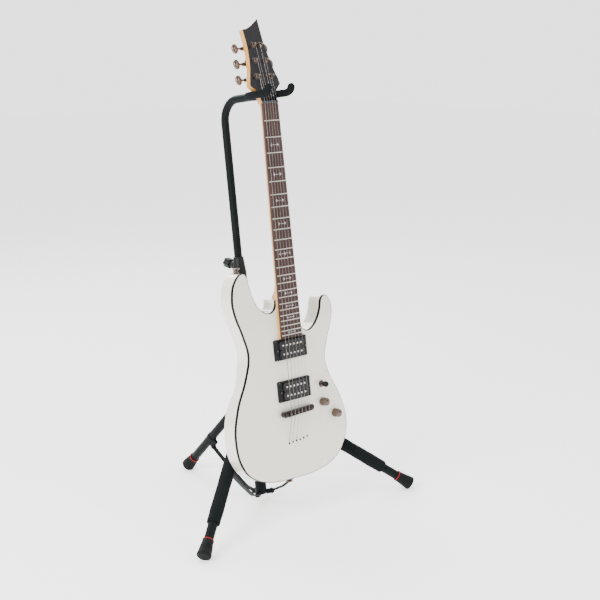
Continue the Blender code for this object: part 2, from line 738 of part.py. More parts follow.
def build_fork(column):
    _, heading = arm_path()
    centre = Vector((0, -FORK_BACK, FORK_HEIGHT))
    left = prong_path(-1)
    right = prong_path(1)
    whole = [*left[:-2][::-1], *right[1:-2]]
    fork = add_object("fork", wire("fork", whole, FORK_ROD_RADIUS, 2), column)
    arm_end = arm_path()[0][-1]
    boss = Shape().rod(arm_end + heading * 0.0016, centre + heading * 0.0045, UPPER_TUBE_RADIUS, sides=20)
    join(fork, add_tool("fork_boss", boss.mesh("fork_boss"), column))
    for name, path in (("left", left), ("right", right)):
        start = next(i for i, point in enumerate(path) if abs(point.x) > 0.0105)
        pad = add_object(f"fork_pad_{name}", wire("pad", path[start:], FORK_PAD_RADIUS, 2), column, look="foam")
        bore = wire("pad_bore", [path[start] * 2 - path[start + 1], *path[start:-1]], FORK_ROD_RADIUS + GAP, 2)
        cut(pad, add_tool(f"pad_bore_{name}", bore, column))


# Guitar


def mm_outline(points):
    """Turns (across, down from the nut) into (across, up)."""
    return [(point[0], -point[1], *point[2:]) for point in points]


def fret_distance(number):
    return SCALE_LENGTH * (1 - 2 ** (-number / 12))


def board_half_width(distance):
    return NUT_HALF_WIDTH + (BOARD_END_HALF_WIDTH - NUT_HALF_WIDTH) * distance / BOARD_END


def pocket_shape(margin):
    """The room for the heel: the board's taper plus a margin, from the body's edge to the board's end."""
    top, bottom = 0.380, BOARD_END + 0.0012
    wide_top = board_half_width(top) + margin
    wide_bottom = board_half_width(bottom) + margin
    return [
        (-wide_top, -top, "corner"), (wide_top, -top, "corner"), (wide_bottom, -bottom, "corner"),
        (-wide_bottom, -bottom, "corner"),
    ]


def cavity_outline(grow):
    """The control cavity behind the knobs and the switch."""
    points = [(0.060, -0.600), (0.090, -0.590), (0.103, -0.610), (0.131, -0.668), (0.130, -0.700), (0.098, -0.700)]
    middle = Vector((0.100, -0.648))
    grown = []
    for point in points:
        away = Vector(point) - middle
        grown.append(tuple(middle + away * (1 + grow / away.length)))
    return grown


def build_guitar_body(guitar):
    outline = mm_outline(BODY_OUTLINE)
    ledge = BODY_FACE + BINDING_DEPTH + GAP
    mesh = stepped(slab("guitar_body", outline, ledge, BODY_BACK), ledge, BINDING_DEPTH + GAP, BINDING_WIDTH + GAP)
    body = add_object("guitar_body", round_rim(mesh, BODY_BACK, 0.005), guitar, look="white_lacquer")
    pocket = add_tool("neck_pocket", slab("neck_pocket", pocket_shape(0.0006), 0.0, BODY_FACE + POCKET_DEPTH), guitar)
    routes = Shape()
    for at in (NECK_PICKUP_AT, BRIDGE_PICKUP_AT):
        routes.block((-0.0370, BODY_FACE - 0.003, -at - 0.0195), (0.0370, BODY_FACE + 0.0220, -at + 0.0195))
    for across, down in (VOLUME_PLACE, TONE_PLACE, SWITCH_PLACE):
        routes.rod((across, BODY_FACE - 0.003, -down), (across, BODY_FACE + 0.012, -down), 0.0040, sides=12)
    for side in (-1, 1):
        drop = math.sin(BRIDGE_SLANT) * BRIDGE_POST_SPREAD * side
        place = (side * BRIDGE_POST_SPREAD, BODY_FACE - 0.003, -BRIDGE_AT + drop)
        routes.rod(place, (place[0], BODY_FACE + 0.018, place[2]), 0.0045, sides=12)
    cavity = add_tool("control_cavity", slab("control_cavity", cavity_outline(0), BODY_FACE + 0.008, BODY_BACK + 0.01),
                      guitar)
    recess = add_tool("cover_recess", slab("cover_recess", cavity_outline(0.005), BODY_BACK - 0.0024, BODY_BACK + 0.01),
                      guitar)
    contour = Shape().ball((-0.168, BODY_BACK + 0.050, -0.560), (0.085, 0.068, 0.105), 12, 24).mesh("belly_contour")
    jack_in, jack_out = jack_line(0.030, -0.010)
    flange_in, _ = jack_line(-0.0004, 0)
    jack_hole = Shape().rod(jack_in, jack_out, 0.0100, sides=20).mesh("jack_hole")
    jack_seat = Shape().rod(flange_in, jack_out, 0.0116, sides=20).mesh("jack_seat")
    cut(
        body, pocket, add_tool("front_routes", routes.mesh("front_routes"), guitar),
        add_tool("belly_contour", contour, guitar), cavity, recess, add_tool("jack_hole", jack_hole, guitar),
        add_tool("jack_seat", jack_seat, guitar),
    )


def jack_line(inward, outward):
    """Two points on the jack's axis, measured inwards from the body's side."""
    side = Vector((JACK_PLACE[0], BODY_FACE + BODY_THICKNESS / 2, -JACK_PLACE[1]))
    direction = Vector((math.cos(JACK_ANGLE), 0, math.sin(JACK_ANGLE)))
    return side - direction * inward, side - direction * outward


def build_binding(guitar):
    outline = mm_outline(BODY_OUTLINE)
    back = BODY_FACE + BINDING_DEPTH
    mesh = hollowed(slab("body_binding", outline, BODY_FACE, back), BODY_FACE, back, BINDING_WIDTH)
    binding = add_object("body_binding", mesh, guitar, look="black_binding")
    pocket = slab("binding_pocket", pocket_shape(0.0006), 0.0, BODY_FACE + POCKET_DEPTH)
    cut(binding, add_tool("binding_pocket", pocket, guitar))


def neck_shaft():
    """A tapering half-round bar with its flat side against the board."""
    bm = bmesh.new()
    length = BOARD_END + HEAD_START
    bmesh.ops.create_cone(
        bm, cap_ends=True, segments=24, radius1=BOARD_END_HALF_WIDTH, radius2=NUT_HALF_WIDTH, depth=length,
        matrix=Matrix.Translation((0, 0, HEAD_START - length / 2)),
    )
    for vert in bm.verts:
        share = (HEAD_START - vert.co.z) / length
        depth = NECK_DEPTH_AT_NUT + (NECK_DEPTH_AT_HEEL - NECK_DEPTH_AT_NUT) * share
        vert.co.y *= depth / (NUT_HALF_WIDTH + (BOARD_END_HALF_WIDTH - NUT_HALF_WIDTH) * share)
    cutting = bmesh.ops.bisect_plane(
        bm, geom=[*bm.verts, *bm.edges, *bm.faces], plane_co=(0, 0, 0), plane_no=(0, -1, 0), clear_outer=True,
    )
    rim = [item for item in cutting["geom_cut"] if isinstance(item, bmesh.types.BMEdge)]
    bmesh.ops.contextual_create(bm, geom=rim)
    bmesh.ops.translate(bm, vec=(0, BOARD_BOTTOM, 0), verts=bm.verts)
    mesh = bpy.data.meshes.new("neck")
    bm.to_mesh(mesh)
    bm.free()
    return mesh


def build_neck(guitar, head):
    neck = add_object("neck", neck_shaft(), guitar, look="maple")
    heel_back = BODY_FACE + POCKET_DEPTH - GAP
    top, bottom = HEEL_START, BOARD_END + 0.0006
    heel_outline = [
        (-board_half_width(top) + 0.0004, -top, "corner"), (board_half_width(top) - 0.0004, -top, "corner"),
        (board_half_width(bottom), -bottom, "corner"), (-board_half_width(bottom), -bottom, "corner"),
    ]
    heel = add_tool("heel", slab("heel", heel_outline, BOARD_BOTTOM + 0.0002, heel_back), guitar)
    blank = slab("head", HEAD_OUTLINE, 0, HEAD_THICKNESS)
    holes = Shape()
    for side in (-1, 1):
        for across, up in POST_PLACES:
            holes.rod((side * across, -0.005, up), (side * across, 0.030, up), 0.0036, sides=12)
    volute = Shape().ball((0, BOARD_BOTTOM + 0.0088, 0.004), (0.0185, 0.0085, 0.024), 10, 16).mesh("volute")
    join(neck, heel, add_tool("head_blank", blank, head), add_tool("volute", volute, guitar))
    seat = Shape().block((-0.04, -0.02, -0.06), (0.04, BOARD_BOTTOM - 0.0001, HEAD_START - 0.0001)).mesh("board_seat")
    cut(neck, add_tool("board_seat", seat, guitar), add_tool("post_holes", holes.mesh("post_holes"), head))


def build_fingerboard(guitar):
    start = 0.0010
    outline = [
        (-board_half_width(start), -start, "corner"), (board_half_width(start), -start, "corner"),
        (board_half_width(BOARD_END), -BOARD_END, "corner"), (-board_half_width(BOARD_END), -BOARD_END, "corner"),
    ]
    mesh = slab("fingerboard", outline, BOARD_TOP, BOARD_BOTTOM - GAP)
    board = add_object("fingerboard", mesh, guitar, look="rosewood")
    frets = Shape()
    for number in range(1, FRET_COUNT + 1):
        down = fret_distance(number)
        half = board_half_width(down) - 0.0002
        frets.rod((-half, 0.0014, -down), (half, 0.0014, -down), 0.0014, sides=8)
    join(board, add_tool("frets", frets.mesh("frets"), guitar))


def build_nut(guitar):
    nut = Shape().block((-NUT_HALF_WIDTH, 0.0, -0.0007), (NUT_HALF_WIDTH, BOARD_BOTTOM - GAP, 0.0041), 0.0006, 1)
    add_object("nut", nut.mesh("nut"), guitar, look="black_plastic")


def build_rod_cover(head):
    outline = [
        (-0.0095, 0.0080, "corner"), (0.0095, 0.0080, "corner"), (0.0090, 0.0180), (0.0050, 0.0300),
        (0.0000, 0.0340), (-0.0050, 0.0300), (-0.0090, 0.0180),
    ]
    add_object("truss_rod_cover", slab("rod_cover", outline, -0.0016, -GAP, 4), head, look="black_plastic")


def build_pickups(guitar):
    for name, at in (("neck", NECK_PICKUP_AT), ("bridge", BRIDGE_PICKUP_AT)):
        frame = rounded_rectangle(RING_LENGTH / 2, RING_HEIGHT / 2, 0.003, (0, -at))
        window = rounded_rectangle(PICKUP_LENGTH / 2 + 0.001, PICKUP_HEIGHT / 2 + 0.0008, 0.002, (0, -at))
        top = BODY_FACE - RING_THICKNESS
        ring = add_object(f"pickup_ring_{name}", slab("ring", frame, top, BODY_FACE - GAP, 1), guitar,
                          look="black_plastic")
        opening = slab("ring_window", window, top - 0.01, BODY_FACE + 0.01, 1)
        cut(ring, add_tool(f"ring_window_{name}", opening, guitar))
        half_length, half_height = PICKUP_LENGTH / 2, PICKUP_HEIGHT / 2
        pickup = Shape().block((-half_length, 0.0045, -at - half_height), (half_length, 0.0300, -at + half_height), 0.0012)
        add_object(f"pickup_{name}", pickup.mesh("pickup"), guitar, look="black_plastic")


def bridge_frame(guitar):
    return add_frame("bridge_line", guitar, (0, 0, -BRIDGE_AT), (0, -BRIDGE_SLANT, 0))


def build_bridge(guitar):
    line = bridge_frame(guitar)
    outline = rounded_rectangle(0.0445, 0.0065, 0.0060)
    bar = add_object("bridge", slab("bridge", outline, -0.0010, 0.0085, 1), line, look="dark_nickel")
    saddles = Shape()
    for number in range(6):
        across = string_across(number, STRING_HALF_SPREAD_BRIDGE)
        saddles.block((across - 0.0038, -0.0026, -0.0040), (across + 0.0038, 0.0010, 0.0040), 0.0010, 1)
    join(bar, add_tool("saddles", saddles.mesh("saddles"), line))
    for name, side in (("bass", -1), ("treble", 1)):
        post = Shape().rod((0, 0.0088, 0), (0, 0.0106, 0), 0.0055, sides=20).mesh("wheel")
        stem = Shape().rod((0, 0.0100, 0), (0, 0.0290, 0), 0.0040, sides=16).mesh("stem")
        place = (side * BRIDGE_POST_SPREAD, 0, 0)
        made = add_object(f"bridge_post_{name}", post, line, place, look="dark_nickel")
        join(made, add_tool(f"post_stem_{name}", stem, line, place))


def string_across(number, half_spread):
    """Strings are numbered from the bass side, which is at -X."""
    return -half_spread + 2 * half_spread * number / 5


def build_strings(guitar):
    tilt = Matrix.Translation((0, HEAD_FACE, HEAD_START)) @ Matrix.Rotation(-HEAD_TILT, 4, "X")
    for number, diameter in enumerate(STRING_DIAMETERS):
        radius = diameter / 2
        at_nut = Vector((string_across(number, STRING_HALF_SPREAD_NUT), -0.0004 - radius, 0.0044))
        across = string_across(number, STRING_HALF_SPREAD_BRIDGE)
        crest = -BRIDGE_AT + across * math.tan(BRIDGE_SLANT)
        at_saddle = Vector((across, -0.0030 - radius, crest))
        behind_saddle = Vector((across, -0.0030 - radius, crest - 0.0046))
        step = number if number < 3 else 5 - number
        ferrule_down = FERRULE_AT + 0.001 * (2 - number) if number < 3 else FERRULE_AT + 0.0015 * (4 - number) - 0.0015
        at_body = Vector((across * 0.99, BODY_FACE - 0.0006 - radius, -ferrule_down))
        post_across, post_up = POST_PLACES[step]
        side = -1 if number < 3 else 1
        touch = side * (post_across - 0.0031 - 0.0004 - radius)
        at_post = tilt @ Vector((touch, -0.0055, post_up))
        path = [at_body, behind_saddle, at_saddle, at_nut, at_post]
        add_object(f"string_{6 - number}", wire("string", path, radius, 1), guitar, look="string_steel")


def build_tuners(head):
    number = 1
    for side in (-1, 1):
        for across, up in POST_PLACES:
            profile = [
                (0, 0.0250), (0.0031, 0.0250), (0.0031, 0.0090), (0.0031, 0.0075), (0.0025, 0.0065),
                (0.0025, 0.0045), (0.0031, 0.0035), (0.0031, 0.0), (0.0, 0.0),
            ]
            profile = [(radius, 0.0095 - height) for radius, height in profile[::-1]]
            post = turned(f"tuner_post_{number}", profile, 12)
            place = (side * across, 0, up)
            lathe(add_object(f"tuner_post_{number}", post, head, place, (math.pi / 2, 0, 0), "dark_nickel"))
            button_place = (side * (across + BUTTON_REACH), BUTTON_DEPTH, up)
            grip = Shape().ball((0, 0, 0), (0.0078, 0.0056, 0.0105), 8, 12).mesh("grip")
            ends = sorted((-side * 0.0220, -side * 0.0025))
            stem = Shape().block((ends[0], -0.0017, -0.0018), (ends[1], 0.0017, 0.0018)).mesh("stem")
            button = add_object(f"tuner_button_{number}", grip, head, button_place, look="dark_nickel")
            join(button, add_tool(f"button_stem_{number}", stem, head, button_place))
            number += 1


def build_controls(guitar):
    for name, (across, down) in (("volume", VOLUME_PLACE), ("tone", TONE_PLACE)):
        profile = [
            (0, 0.0170), (0.0070, 0.0168), (0.0086, 0.0155), (0.0091, 0.0120), (0.0095, 0.0005), (0.0080, 0.0005),
            (0.0080, 0.0020), (0.0030, 0.0020), (0.0030, -0.0100), (0, -0.0100),
        ]
        place = (across, BODY_FACE, -down)
        lathe(add_object(f"{name}_knob", turned(f"{name}_knob", profile, 18), guitar, place, (math.pi / 2, 0, 0),
                         "dark_nickel"))
    across, down = SWITCH_PLACE
    place = (across, BODY_FACE, -down)
    bush = [(0.0060, 0.0030), (0.0075, 0.0020), (0.0075, GAP), (0.0034, GAP), (0.0034, 0.0030)]
    lathe(add_object("switch_bush", turned("switch_bush", bush, 18), guitar, place, (math.pi / 2, 0, 0), "dark_nickel"))
    lever = [
        (0, 0.0205), (0.0042, 0.0198), (0.0062, 0.0170), (0.0066, 0.0135), (0.0044, 0.0062), (0.0014, 0.0055),
        (0.0014, -0.0030), (0, -0.0030),
    ]
    lathe(add_object("switch_lever", turned("switch_lever", lever, 16), guitar, place, (math.pi / 2, 0, 0),
                     "black_plastic"))


def build_fittings(guitar):
    cover = slab("control_cover", cavity_outline(0.0045), BODY_BACK - 0.0021, BODY_BACK - 0.0001)
    add_object("control_cover", cover, guitar, look="black_plastic")
    middle = BODY_FACE + BODY_THICKNESS / 2
    button = [
        (0, 0.0110), (0.0070, 0.0110), (0.0080, 0.0098), (0.0074, 0.0085), (0.0036, 0.0065), (0.0036, 0.0025),
        (0.0058, 0.0012), (0.0060, 0.0), (0, 0.0),
    ]
    lathe(add_object("strap_button_horn", turned("strap_button_horn", button, 20), guitar,
                     (-0.1075, middle, -0.3431), look="dark_nickel"))
    lathe(add_object("strap_button_tail", turned("strap_button_tail", button, 20), guitar,
                     (-0.0180, middle, -0.7966), (math.pi, 0, 0), "dark_nickel"))
    inside, outside = jack_line(0.0200, 0.0)
    direction = (outside - inside).normalized()
    jack = [
        (0.0065, 0.0022), (0.0108, 0.0020), (0.0112, 0.0010), (0.0097, 0.0008), (0.0097, -0.0180), (0.0035, -0.0180),
        (0.0035, -0.0020),
    ]
    lathe(add_object("output_jack", turned("output_jack", jack, 20), guitar, outside,
                     direction.to_track_quat("Z", "Y").to_euler(), "dark_nickel"))


def build_guitar(column):
    guitar = add_frame("guitar_line", column, (0, -FRET_PLANE_FORWARD, NUT_HEIGHT))
    head = add_frame("head_plane", guitar, (0, HEAD_FACE, HEAD_START), (-HEAD_TILT, 0, 0))
    build_guitar_body(guitar)
    build_binding(guitar)
    build_neck(guitar, head)
    build_fingerboard(guitar)
    build_nut(guitar)
    build_rod_cover(head)
    build_pickups(guitar)
    build_bridge(guitar)
    build_strings(guitar)
    build_tuners(head)
    build_controls(guitar)
    build_fittings(guitar)


def main():
    column = add_frame("column_line", None, (0, footprint_shift(), HUB_CLEARANCE), (-LEAN, 0, 0))
    floor = add_tool("floor_cut", Shape().block((-1, -1, -0.1), (1, 1, 0)).mesh("floor_cut"), None)
    build_lower_column(column)
    build_base_hub(column)
    build_upper_column(column)
    build_height_clamp(column)
    build_clamp_knob(column)
    build_leg_crown(column)
    build_crown_knob(column)
    build_legs(column, floor)
    build_fork(column)
    build_guitar(column)


clear_scene()
PARTS = new_collection("guitar_on_stand")
TOOLS = new_collection("cutters")
FINISHES = make_finishes()
main()
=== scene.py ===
"""Electric guitar hanging in a folding tripod stand: its pieces, finishes and studio.

Every length is in metres. Pieces are modelled in the frame of the column, of a leg or of the guitar,
and finished in the row's frame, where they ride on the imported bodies.
"""

import json
import math

import bmesh
import bpy
from bpy.props import FloatProperty, FloatVectorProperty, IntProperty, PointerProperty
from bpy.types import Operator, Panel, PropertyGroup
from mathutils import Matrix, Vector


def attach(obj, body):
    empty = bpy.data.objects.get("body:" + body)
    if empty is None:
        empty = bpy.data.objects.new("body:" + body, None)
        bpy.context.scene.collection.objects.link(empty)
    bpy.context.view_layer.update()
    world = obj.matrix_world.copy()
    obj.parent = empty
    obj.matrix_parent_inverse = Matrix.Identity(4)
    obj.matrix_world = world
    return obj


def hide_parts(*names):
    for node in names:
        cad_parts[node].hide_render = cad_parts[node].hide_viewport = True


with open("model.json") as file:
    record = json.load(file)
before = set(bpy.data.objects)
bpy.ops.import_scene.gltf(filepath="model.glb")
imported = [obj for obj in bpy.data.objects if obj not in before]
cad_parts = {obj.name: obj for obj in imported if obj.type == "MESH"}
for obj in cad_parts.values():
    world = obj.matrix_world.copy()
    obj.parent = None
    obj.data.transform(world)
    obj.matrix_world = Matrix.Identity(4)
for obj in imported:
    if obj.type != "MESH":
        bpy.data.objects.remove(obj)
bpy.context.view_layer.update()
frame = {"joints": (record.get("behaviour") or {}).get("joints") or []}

bl_info = {
    "name": "Guitar on Stand",
    "version": (1, 0, 0),
    "blender": (4, 5, 0),
    "location": "View3D > Sidebar > Guitar",
    "description": "Builds an electric guitar and its folding stand around their packed frame",
    "category": "Object",
}

IDENTITY = Matrix.Identity(4)
JOINTS = {joint["name"]: joint for joint in frame["joints"]}
LEGS = ("rear", "left", "right")
LEG_ANGLE = math.radians(52.7)
PIVOT_RADIUS = 0.024
PIVOT_HEIGHT = 0.2188
HEAD_TILT = math.radians(12.5)
BODY_FACE = 0.0133
BOARD_BOTTOM = 0.007
VOLUME_PLACE = (0.0790, 0.6480)
TONE_PLACE = (0.1120, 0.6795)
SWITCH_PLACE = (0.0805, 0.6090)
POST_PLACES = ((0.0196, 0.0525), (0.0150, 0.0865), (0.0098, 0.1200))
PICKUP_PLACES = {"neck": 0.5163, "bridge": 0.6052}
BRIDGE_DOWN = 0.6525
BRIDGE_SLANT = math.radians(1.6)
SADDLE_SPREAD = 0.026
NUT_SPREAD = 0.0175
POST_RADIUS = 0.0031
BOARD_CROWN = 0.350
HUB_PIN = (0.024, 0.004)
BRACKET_REACH = 0.0200
INLAID_FRETS = (3, 5, 7, 9, 12, 15, 17, 19, 21, 24)
STRING_DIAMETERS = (0.00117, 0.00091, 0.00066, 0.00043, 0.00033, 0.00025)

# Body outline: across, then down from the nut. A third word keeps a point sharp.
BODY_OUTLINE = (
    (-0.0274, 0.4090, "corner"), (-0.0285, 0.4215), (-0.0365, 0.4325), (-0.0494, 0.4352),
    (-0.0690, 0.4255), (-0.0847, 0.4037), (-0.0945, 0.3724), (-0.1000, 0.3500), (-0.1075, 0.3435),
    (-0.1285, 0.3560), (-0.1415, 0.3950), (-0.1385, 0.4250), (-0.1225, 0.4723), (-0.1128, 0.5166),
    (-0.1255, 0.5615), (-0.1545, 0.6223), (-0.1670, 0.6850), (-0.1525, 0.7480), (-0.1280, 0.7735),
    (-0.0920, 0.7885), (-0.0200, 0.7960), (0.0600, 0.7930), (0.0980, 0.7810), (0.1290, 0.7545),
    (0.1460, 0.7050), (0.1335, 0.6459), (0.1050, 0.5850), (0.0985, 0.5500), (0.1080, 0.5182),
    (0.1265, 0.4720), (0.1310, 0.4470), (0.1245, 0.4270), (0.1150, 0.4180), (0.1050, 0.4215),
    (0.0955, 0.4477), (0.0853, 0.4665), (0.0699, 0.4815), (0.0575, 0.4866), (0.0440, 0.4815),
    (0.0350, 0.4680), (0.0310, 0.4560, "corner"),
)

# Head outline: across, then up the tilted face from the nut.
HEAD_OUTLINE = (
    (-0.0212, -0.0030, "corner"), (-0.0228, 0.0100), (-0.0266, 0.0215, "corner"), (-0.0415, 0.0335, "corner"),
    (-0.0375, 0.0480), (-0.0300, 0.0720), (-0.0262, 0.0960), (-0.0246, 0.1200),
    (-0.0262, 0.1540, "corner"), (-0.0160, 0.1555), (0.0195, 0.1770, "corner"),
    (0.0203, 0.1500), (0.0222, 0.1200), (0.0262, 0.0960), (0.0320, 0.0680), (0.0405, 0.0358, "corner"),
    (0.0262, 0.0222, "corner"), (0.0228, 0.0100), (0.0212, -0.0030, "corner"),
)

# Strut centreline from its leg pin to the hub: distance from the column's axis, then height.
STRUT_PATH = (
    (0.1565, 0.0865), (0.1250, 0.0620), (0.0870, 0.0345), (0.0540, 0.0125), (0.0450, 0.0092), (0.0240, 0.0040),
)

# Cavity outline behind the controls: across, then up from the nut.
CAVITY_MIDDLE = Vector((0.100, -0.648))
CAVITY_OUTLINE = (
    (0.060, -0.600), (0.090, -0.590), (0.103, -0.610), (0.131, -0.668), (0.130, -0.700), (0.098, -0.700),
)


# Frames of the stand and the guitar


def column_line():
    """The column's own frame: Z up its axis, Y to the rear."""
    up = Vector(JOINTS["crown_slide"]["axis"]).normalized()
    back = up.cross(Vector((1, 0, 0))).normalized()
    turn = Matrix(((1, 0, 0), back, up)).transposed().to_4x4()
    pivots = [Vector(JOINTS[f"leg_{name}_fold"]["pos_m"]) for name in LEGS]
    middle = sum(pivots, Vector()) / len(pivots)
    return Matrix.Translation(middle - up * PIVOT_HEIGHT) @ turn


COLUMN = column_line()
LEAN = math.atan2(COLUMN[1][2], COLUMN[2][2])


def guitar_line():
    """The guitar's own frame: X to the treble side, Y into the guitar and Z to the head, from the nut."""
    turn = COLUMN.to_3x3()
    across, down = VOLUME_PLACE
    origin = Vector(JOINTS["volume_turn"]["pos_m"]) - turn @ Vector((across, BODY_FACE, -down))
    return Matrix.Translation(origin) @ turn.to_4x4()


GUITAR = guitar_line()
HEAD = GUITAR @ Matrix.Translation((0, 0.004, 0.0045)) @ Matrix.Rotation(-HEAD_TILT, 4, "X")


def station(name):
    """The frame of one leg: X away from the column, Y along its hinge pins and Z up the column."""
    azimuth = {"rear": 90, "left": 210, "right": 330}[name]
    return COLUMN @ Matrix.Rotation(math.radians(azimuth), 4, "Z")


def leg_line(name):
    """The frame down one leg from its pivot, with X towards the underside."""
    return station(name) @ Matrix.Translation((PIVOT_RADIUS, 0, PIVOT_HEIGHT)) @ Matrix.Rotation(
        math.pi - LEG_ANGLE, 4, "Y"
    )


# Settings


def length_of(label, about, value):
    return FloatProperty(name=label, description=about, default=value, subtype="DISTANCE", unit="LENGTH")


def colour_of(label, about, value):
    return FloatVectorProperty(name=label, description=about, default=value, subtype="COLOR", size=3)


def angle_of(label, about, degrees):
    return FloatProperty(name=label, description=about, default=math.radians(degrees), subtype="ANGLE",
                         unit="ROTATION")


class StandSizes(PropertyGroup):
    """Sizes of the stand that a user would change."""

    lower_radius: length_of("Lower tube radius", "Outside of the lower column tube", 0.011)
    upper_radius: length_of("Upper tube radius", "Outside of the upper column tube", 0.00875)
    leg_radius: length_of("Leg radius", "Outside of a leg tube", 0.010)
    foam_radius: length_of("Foam radius", "Outside of a leg's foam sleeve", 0.0145)
    boot_radius: length_of("Boot radius", "Widest part of a rubber foot", 0.0155)
    pad_radius: length_of("Fork sleeve radius", "Outside of the fork's sleeves", 0.00775)
    knob_radius: length_of("Clamp knob radius", "Height clamp's knob over its lobes", 0.0113)
    knob_lobes: IntProperty(name="Knob lobes", description="Lobes round the clamp knob", default=6, min=3)


class GuitarSizes(PropertyGroup):
    """Sizes of the guitar that a user would change."""

    scale_length: length_of("Scale length", "Nut to bridge", 0.6477)
    fret_count: IntProperty(name="Frets", description="Number of frets", default=24, min=12)
    fret_height: length_of("Fret height", "Fret crown above the board", 0.0011)
    board_end: length_of("Board end", "Nut to the board's end", 0.4925)
    nut_half_width: length_of("Nut half width", "Half the board's width at the nut", 0.0212)
    end_half_width: length_of("End half width", "Half the board's width at its end", 0.0286)
    body_thickness: length_of("Body thickness", "Face to back", 0.043)
    binding_depth: length_of("Binding depth", "Edge strip down the side", 0.0062)
    head_thickness: length_of("Head thickness", "Face to back of the head", 0.014)


class Colours(PropertyGroup):
    """Colours of the finishes."""

    lacquer: colour_of("Lacquer", "Body colour", (0.72, 0.69, 0.60))
    maple: colour_of("Maple", "Neck and head edge", (0.56, 0.285, 0.062))
    rosewood: colour_of("Rosewood", "Fingerboard", (0.042, 0.020, 0.017))
    hardware: colour_of("Hardware", "Tuners, knobs, buttons and screws", (0.165, 0.120, 0.100))
    stand: colour_of("Stand coating", "Powder coat of the steel", (0.004, 0.0058, 0.0060))
    foam: colour_of("Foam", "Sleeves of the legs and the fork", (0.0050, 0.0062, 0.0064))
    ring: colour_of("Foot ring", "Ring at the mouth of each foot", (0.20, 0.007, 0.006))


class StageSettings(PropertyGroup):
    """Camera and lights."""

    lens: FloatProperty(name="Focal length", description="Lens in millimetres", default=73.47)
    distance: length_of("Camera distance", "Floor distance from the column's foot", 2.5954)
    bearing: angle_of("Camera bearing", "Turn from straight in front, to the bass side", 40.396)
    heading: angle_of("Camera heading", "Turn of the view round the vertical", 42.31)
    pitch: angle_of("Camera pitch", "Tilt of the view below the horizon", 12.25)
    height: length_of("Camera height", "Above the floor", 1.0219)
    key_power: FloatProperty(name="Key light", description="Power of the key light", default=150.0)
    fill_power: FloatProperty(name="Fill light", description="Power of the fill light", default=60.0)
    sky: FloatProperty(name="Backdrop", description="Strength of the white backdrop", default=2.5, min=0)
    room: FloatProperty(name="Room", description="Strength of the room in front", default=0.45, min=0)


def stand_sizes():
    """The stand's sizes, as set in the sidebar."""
    return bpy.context.scene.stand_sizes


def guitar_sizes():
    return bpy.context.scene.guitar_sizes


def colours():
    return bpy.context.scene.guitar_colours


# Shapes


def rounded(profile, radius, steps=3):
    """Rounds the corners of a profile that stand off the axis."""
    closed = profile[0][0] > 0
    points = [Vector(point) for point in profile]
    result = []
    for index, point in enumerate(points):
        at_end = not closed and index in (0, len(points) - 1)
        before, after = points[index - 1], points[(index + 1) % len(points)]
        if at_end or point.x < 0.00001:
            result.append(point)
            continue
        reach = min(radius, (before - point).length * 0.49, (after - point).length * 0.49)
        start = point + (before - point).normalized() * reach
        end = point + (after - point).normalized() * reach
        if (before - point).angle(after - point) > math.radians(155):
            result.append(point)
            continue
        for step in range(steps + 1):
            share = step / steps
            result.append(start.lerp(point, share).lerp(point.lerp(end, share), share))
    return result


def through(points, steps):
    """Points along the smooth curve that passes through each given point."""
    knots = [Vector(point) for point in points]
    knots = [2 * knots[0] - knots[1], *knots, 2 * knots[-1] - knots[-2]]
    path = []
    for before, start, end, after in zip(knots, knots[1:], knots[2:], knots[3:]):
        for step in range(steps):
            t = step / steps
            path.append(
                0.5 * (2 * start + (end - before) * t + (2 * before - 5 * start + 4 * end - after) * t * t
                       + (3 * start - before - 3 * end + after) * t ** 3)
            )
    return [*path, knots[-2]]


def circle_section(radius, sides=20):
    return [
        (radius * math.cos(math.tau * k / sides), radius * math.sin(math.tau * k / sides)) for k in range(sides)
    ]


def outline_points(points, steps, flip=1):
    """The smooth closed outline through its points, as (across, up) pairs."""
    curve = bpy.data.curves.new("outline", "CURVE")
    curve.dimensions = "2D"
    curve.fill_mode = "NONE"
    curve.resolution_u = steps
    spline = curve.splines.new("BEZIER")
    spline.bezier_points.add(len(points) - 1)
    spline.use_cyclic_u = True
    for knot, point in zip(spline.bezier_points, points):
        knot.co = (point[0], flip * point[1], 0)
        kind = "VECTOR" if len(point) > 2 else "AUTO"
        knot.handle_left_type = kind
        knot.handle_right_type = kind
    item = bpy.data.objects.new("outline", curve)
    bpy.context.scene.collection.objects.link(item)
    mesh = bpy.data.meshes.new_from_object(item.evaluated_get(bpy.context.evaluated_depsgraph_get()))
    bpy.data.objects.remove(item)
    found = [Vector((vert.co.x, vert.co.y)) for vert in mesh.vertices]
    bpy.data.meshes.remove(mesh)
    return [point for point, last in zip(found, [found[-1], *found]) if (point - last).length > 0.00002]


def inset_outline(points, amount):
    """The outline moved in by an amount."""
    doubled_area = sum(a.x * b.y - b.x * a.y for a, b in zip(points, [*points[1:], points[0]]))
    amount = math.copysign(amount, doubled_area)
    moved = []
    for before, point, after in zip([points[-1], *points], points, [*points[1:], points[0]]):
        along = (after - before).normalized()
        moved.append(point + Vector((-along.y, along.x)) * amount)
    return moved


def rounded_rectangle(half_width, half_height, radius, centre=(0, 0), steps=5):
    """The outline of a rectangle with round corners, as (across, up) pairs."""
    points = []
    for sign_x, sign_y, first in ((1, 1, 0), (-1, 1, 90), (-1, -1, 180), (1, -1, 270)):
        for step in range(steps + 1):
            angle = math.radians(first + step * 90 / steps)
            points.append(Vector((
                centre[0] + sign_x * (half_width - radius) + radius * math.cos(angle),
                centre[1] + sign_y * (half_height - radius) + radius * math.sin(angle),
            )))
    return points


def facing(centre, direction):
    """A frame at a point whose Z axis runs along a direction."""
    return Matrix.Translation(centre) @ Vector(direction).to_track_quat("Z", "Y").to_matrix().to_4x4()


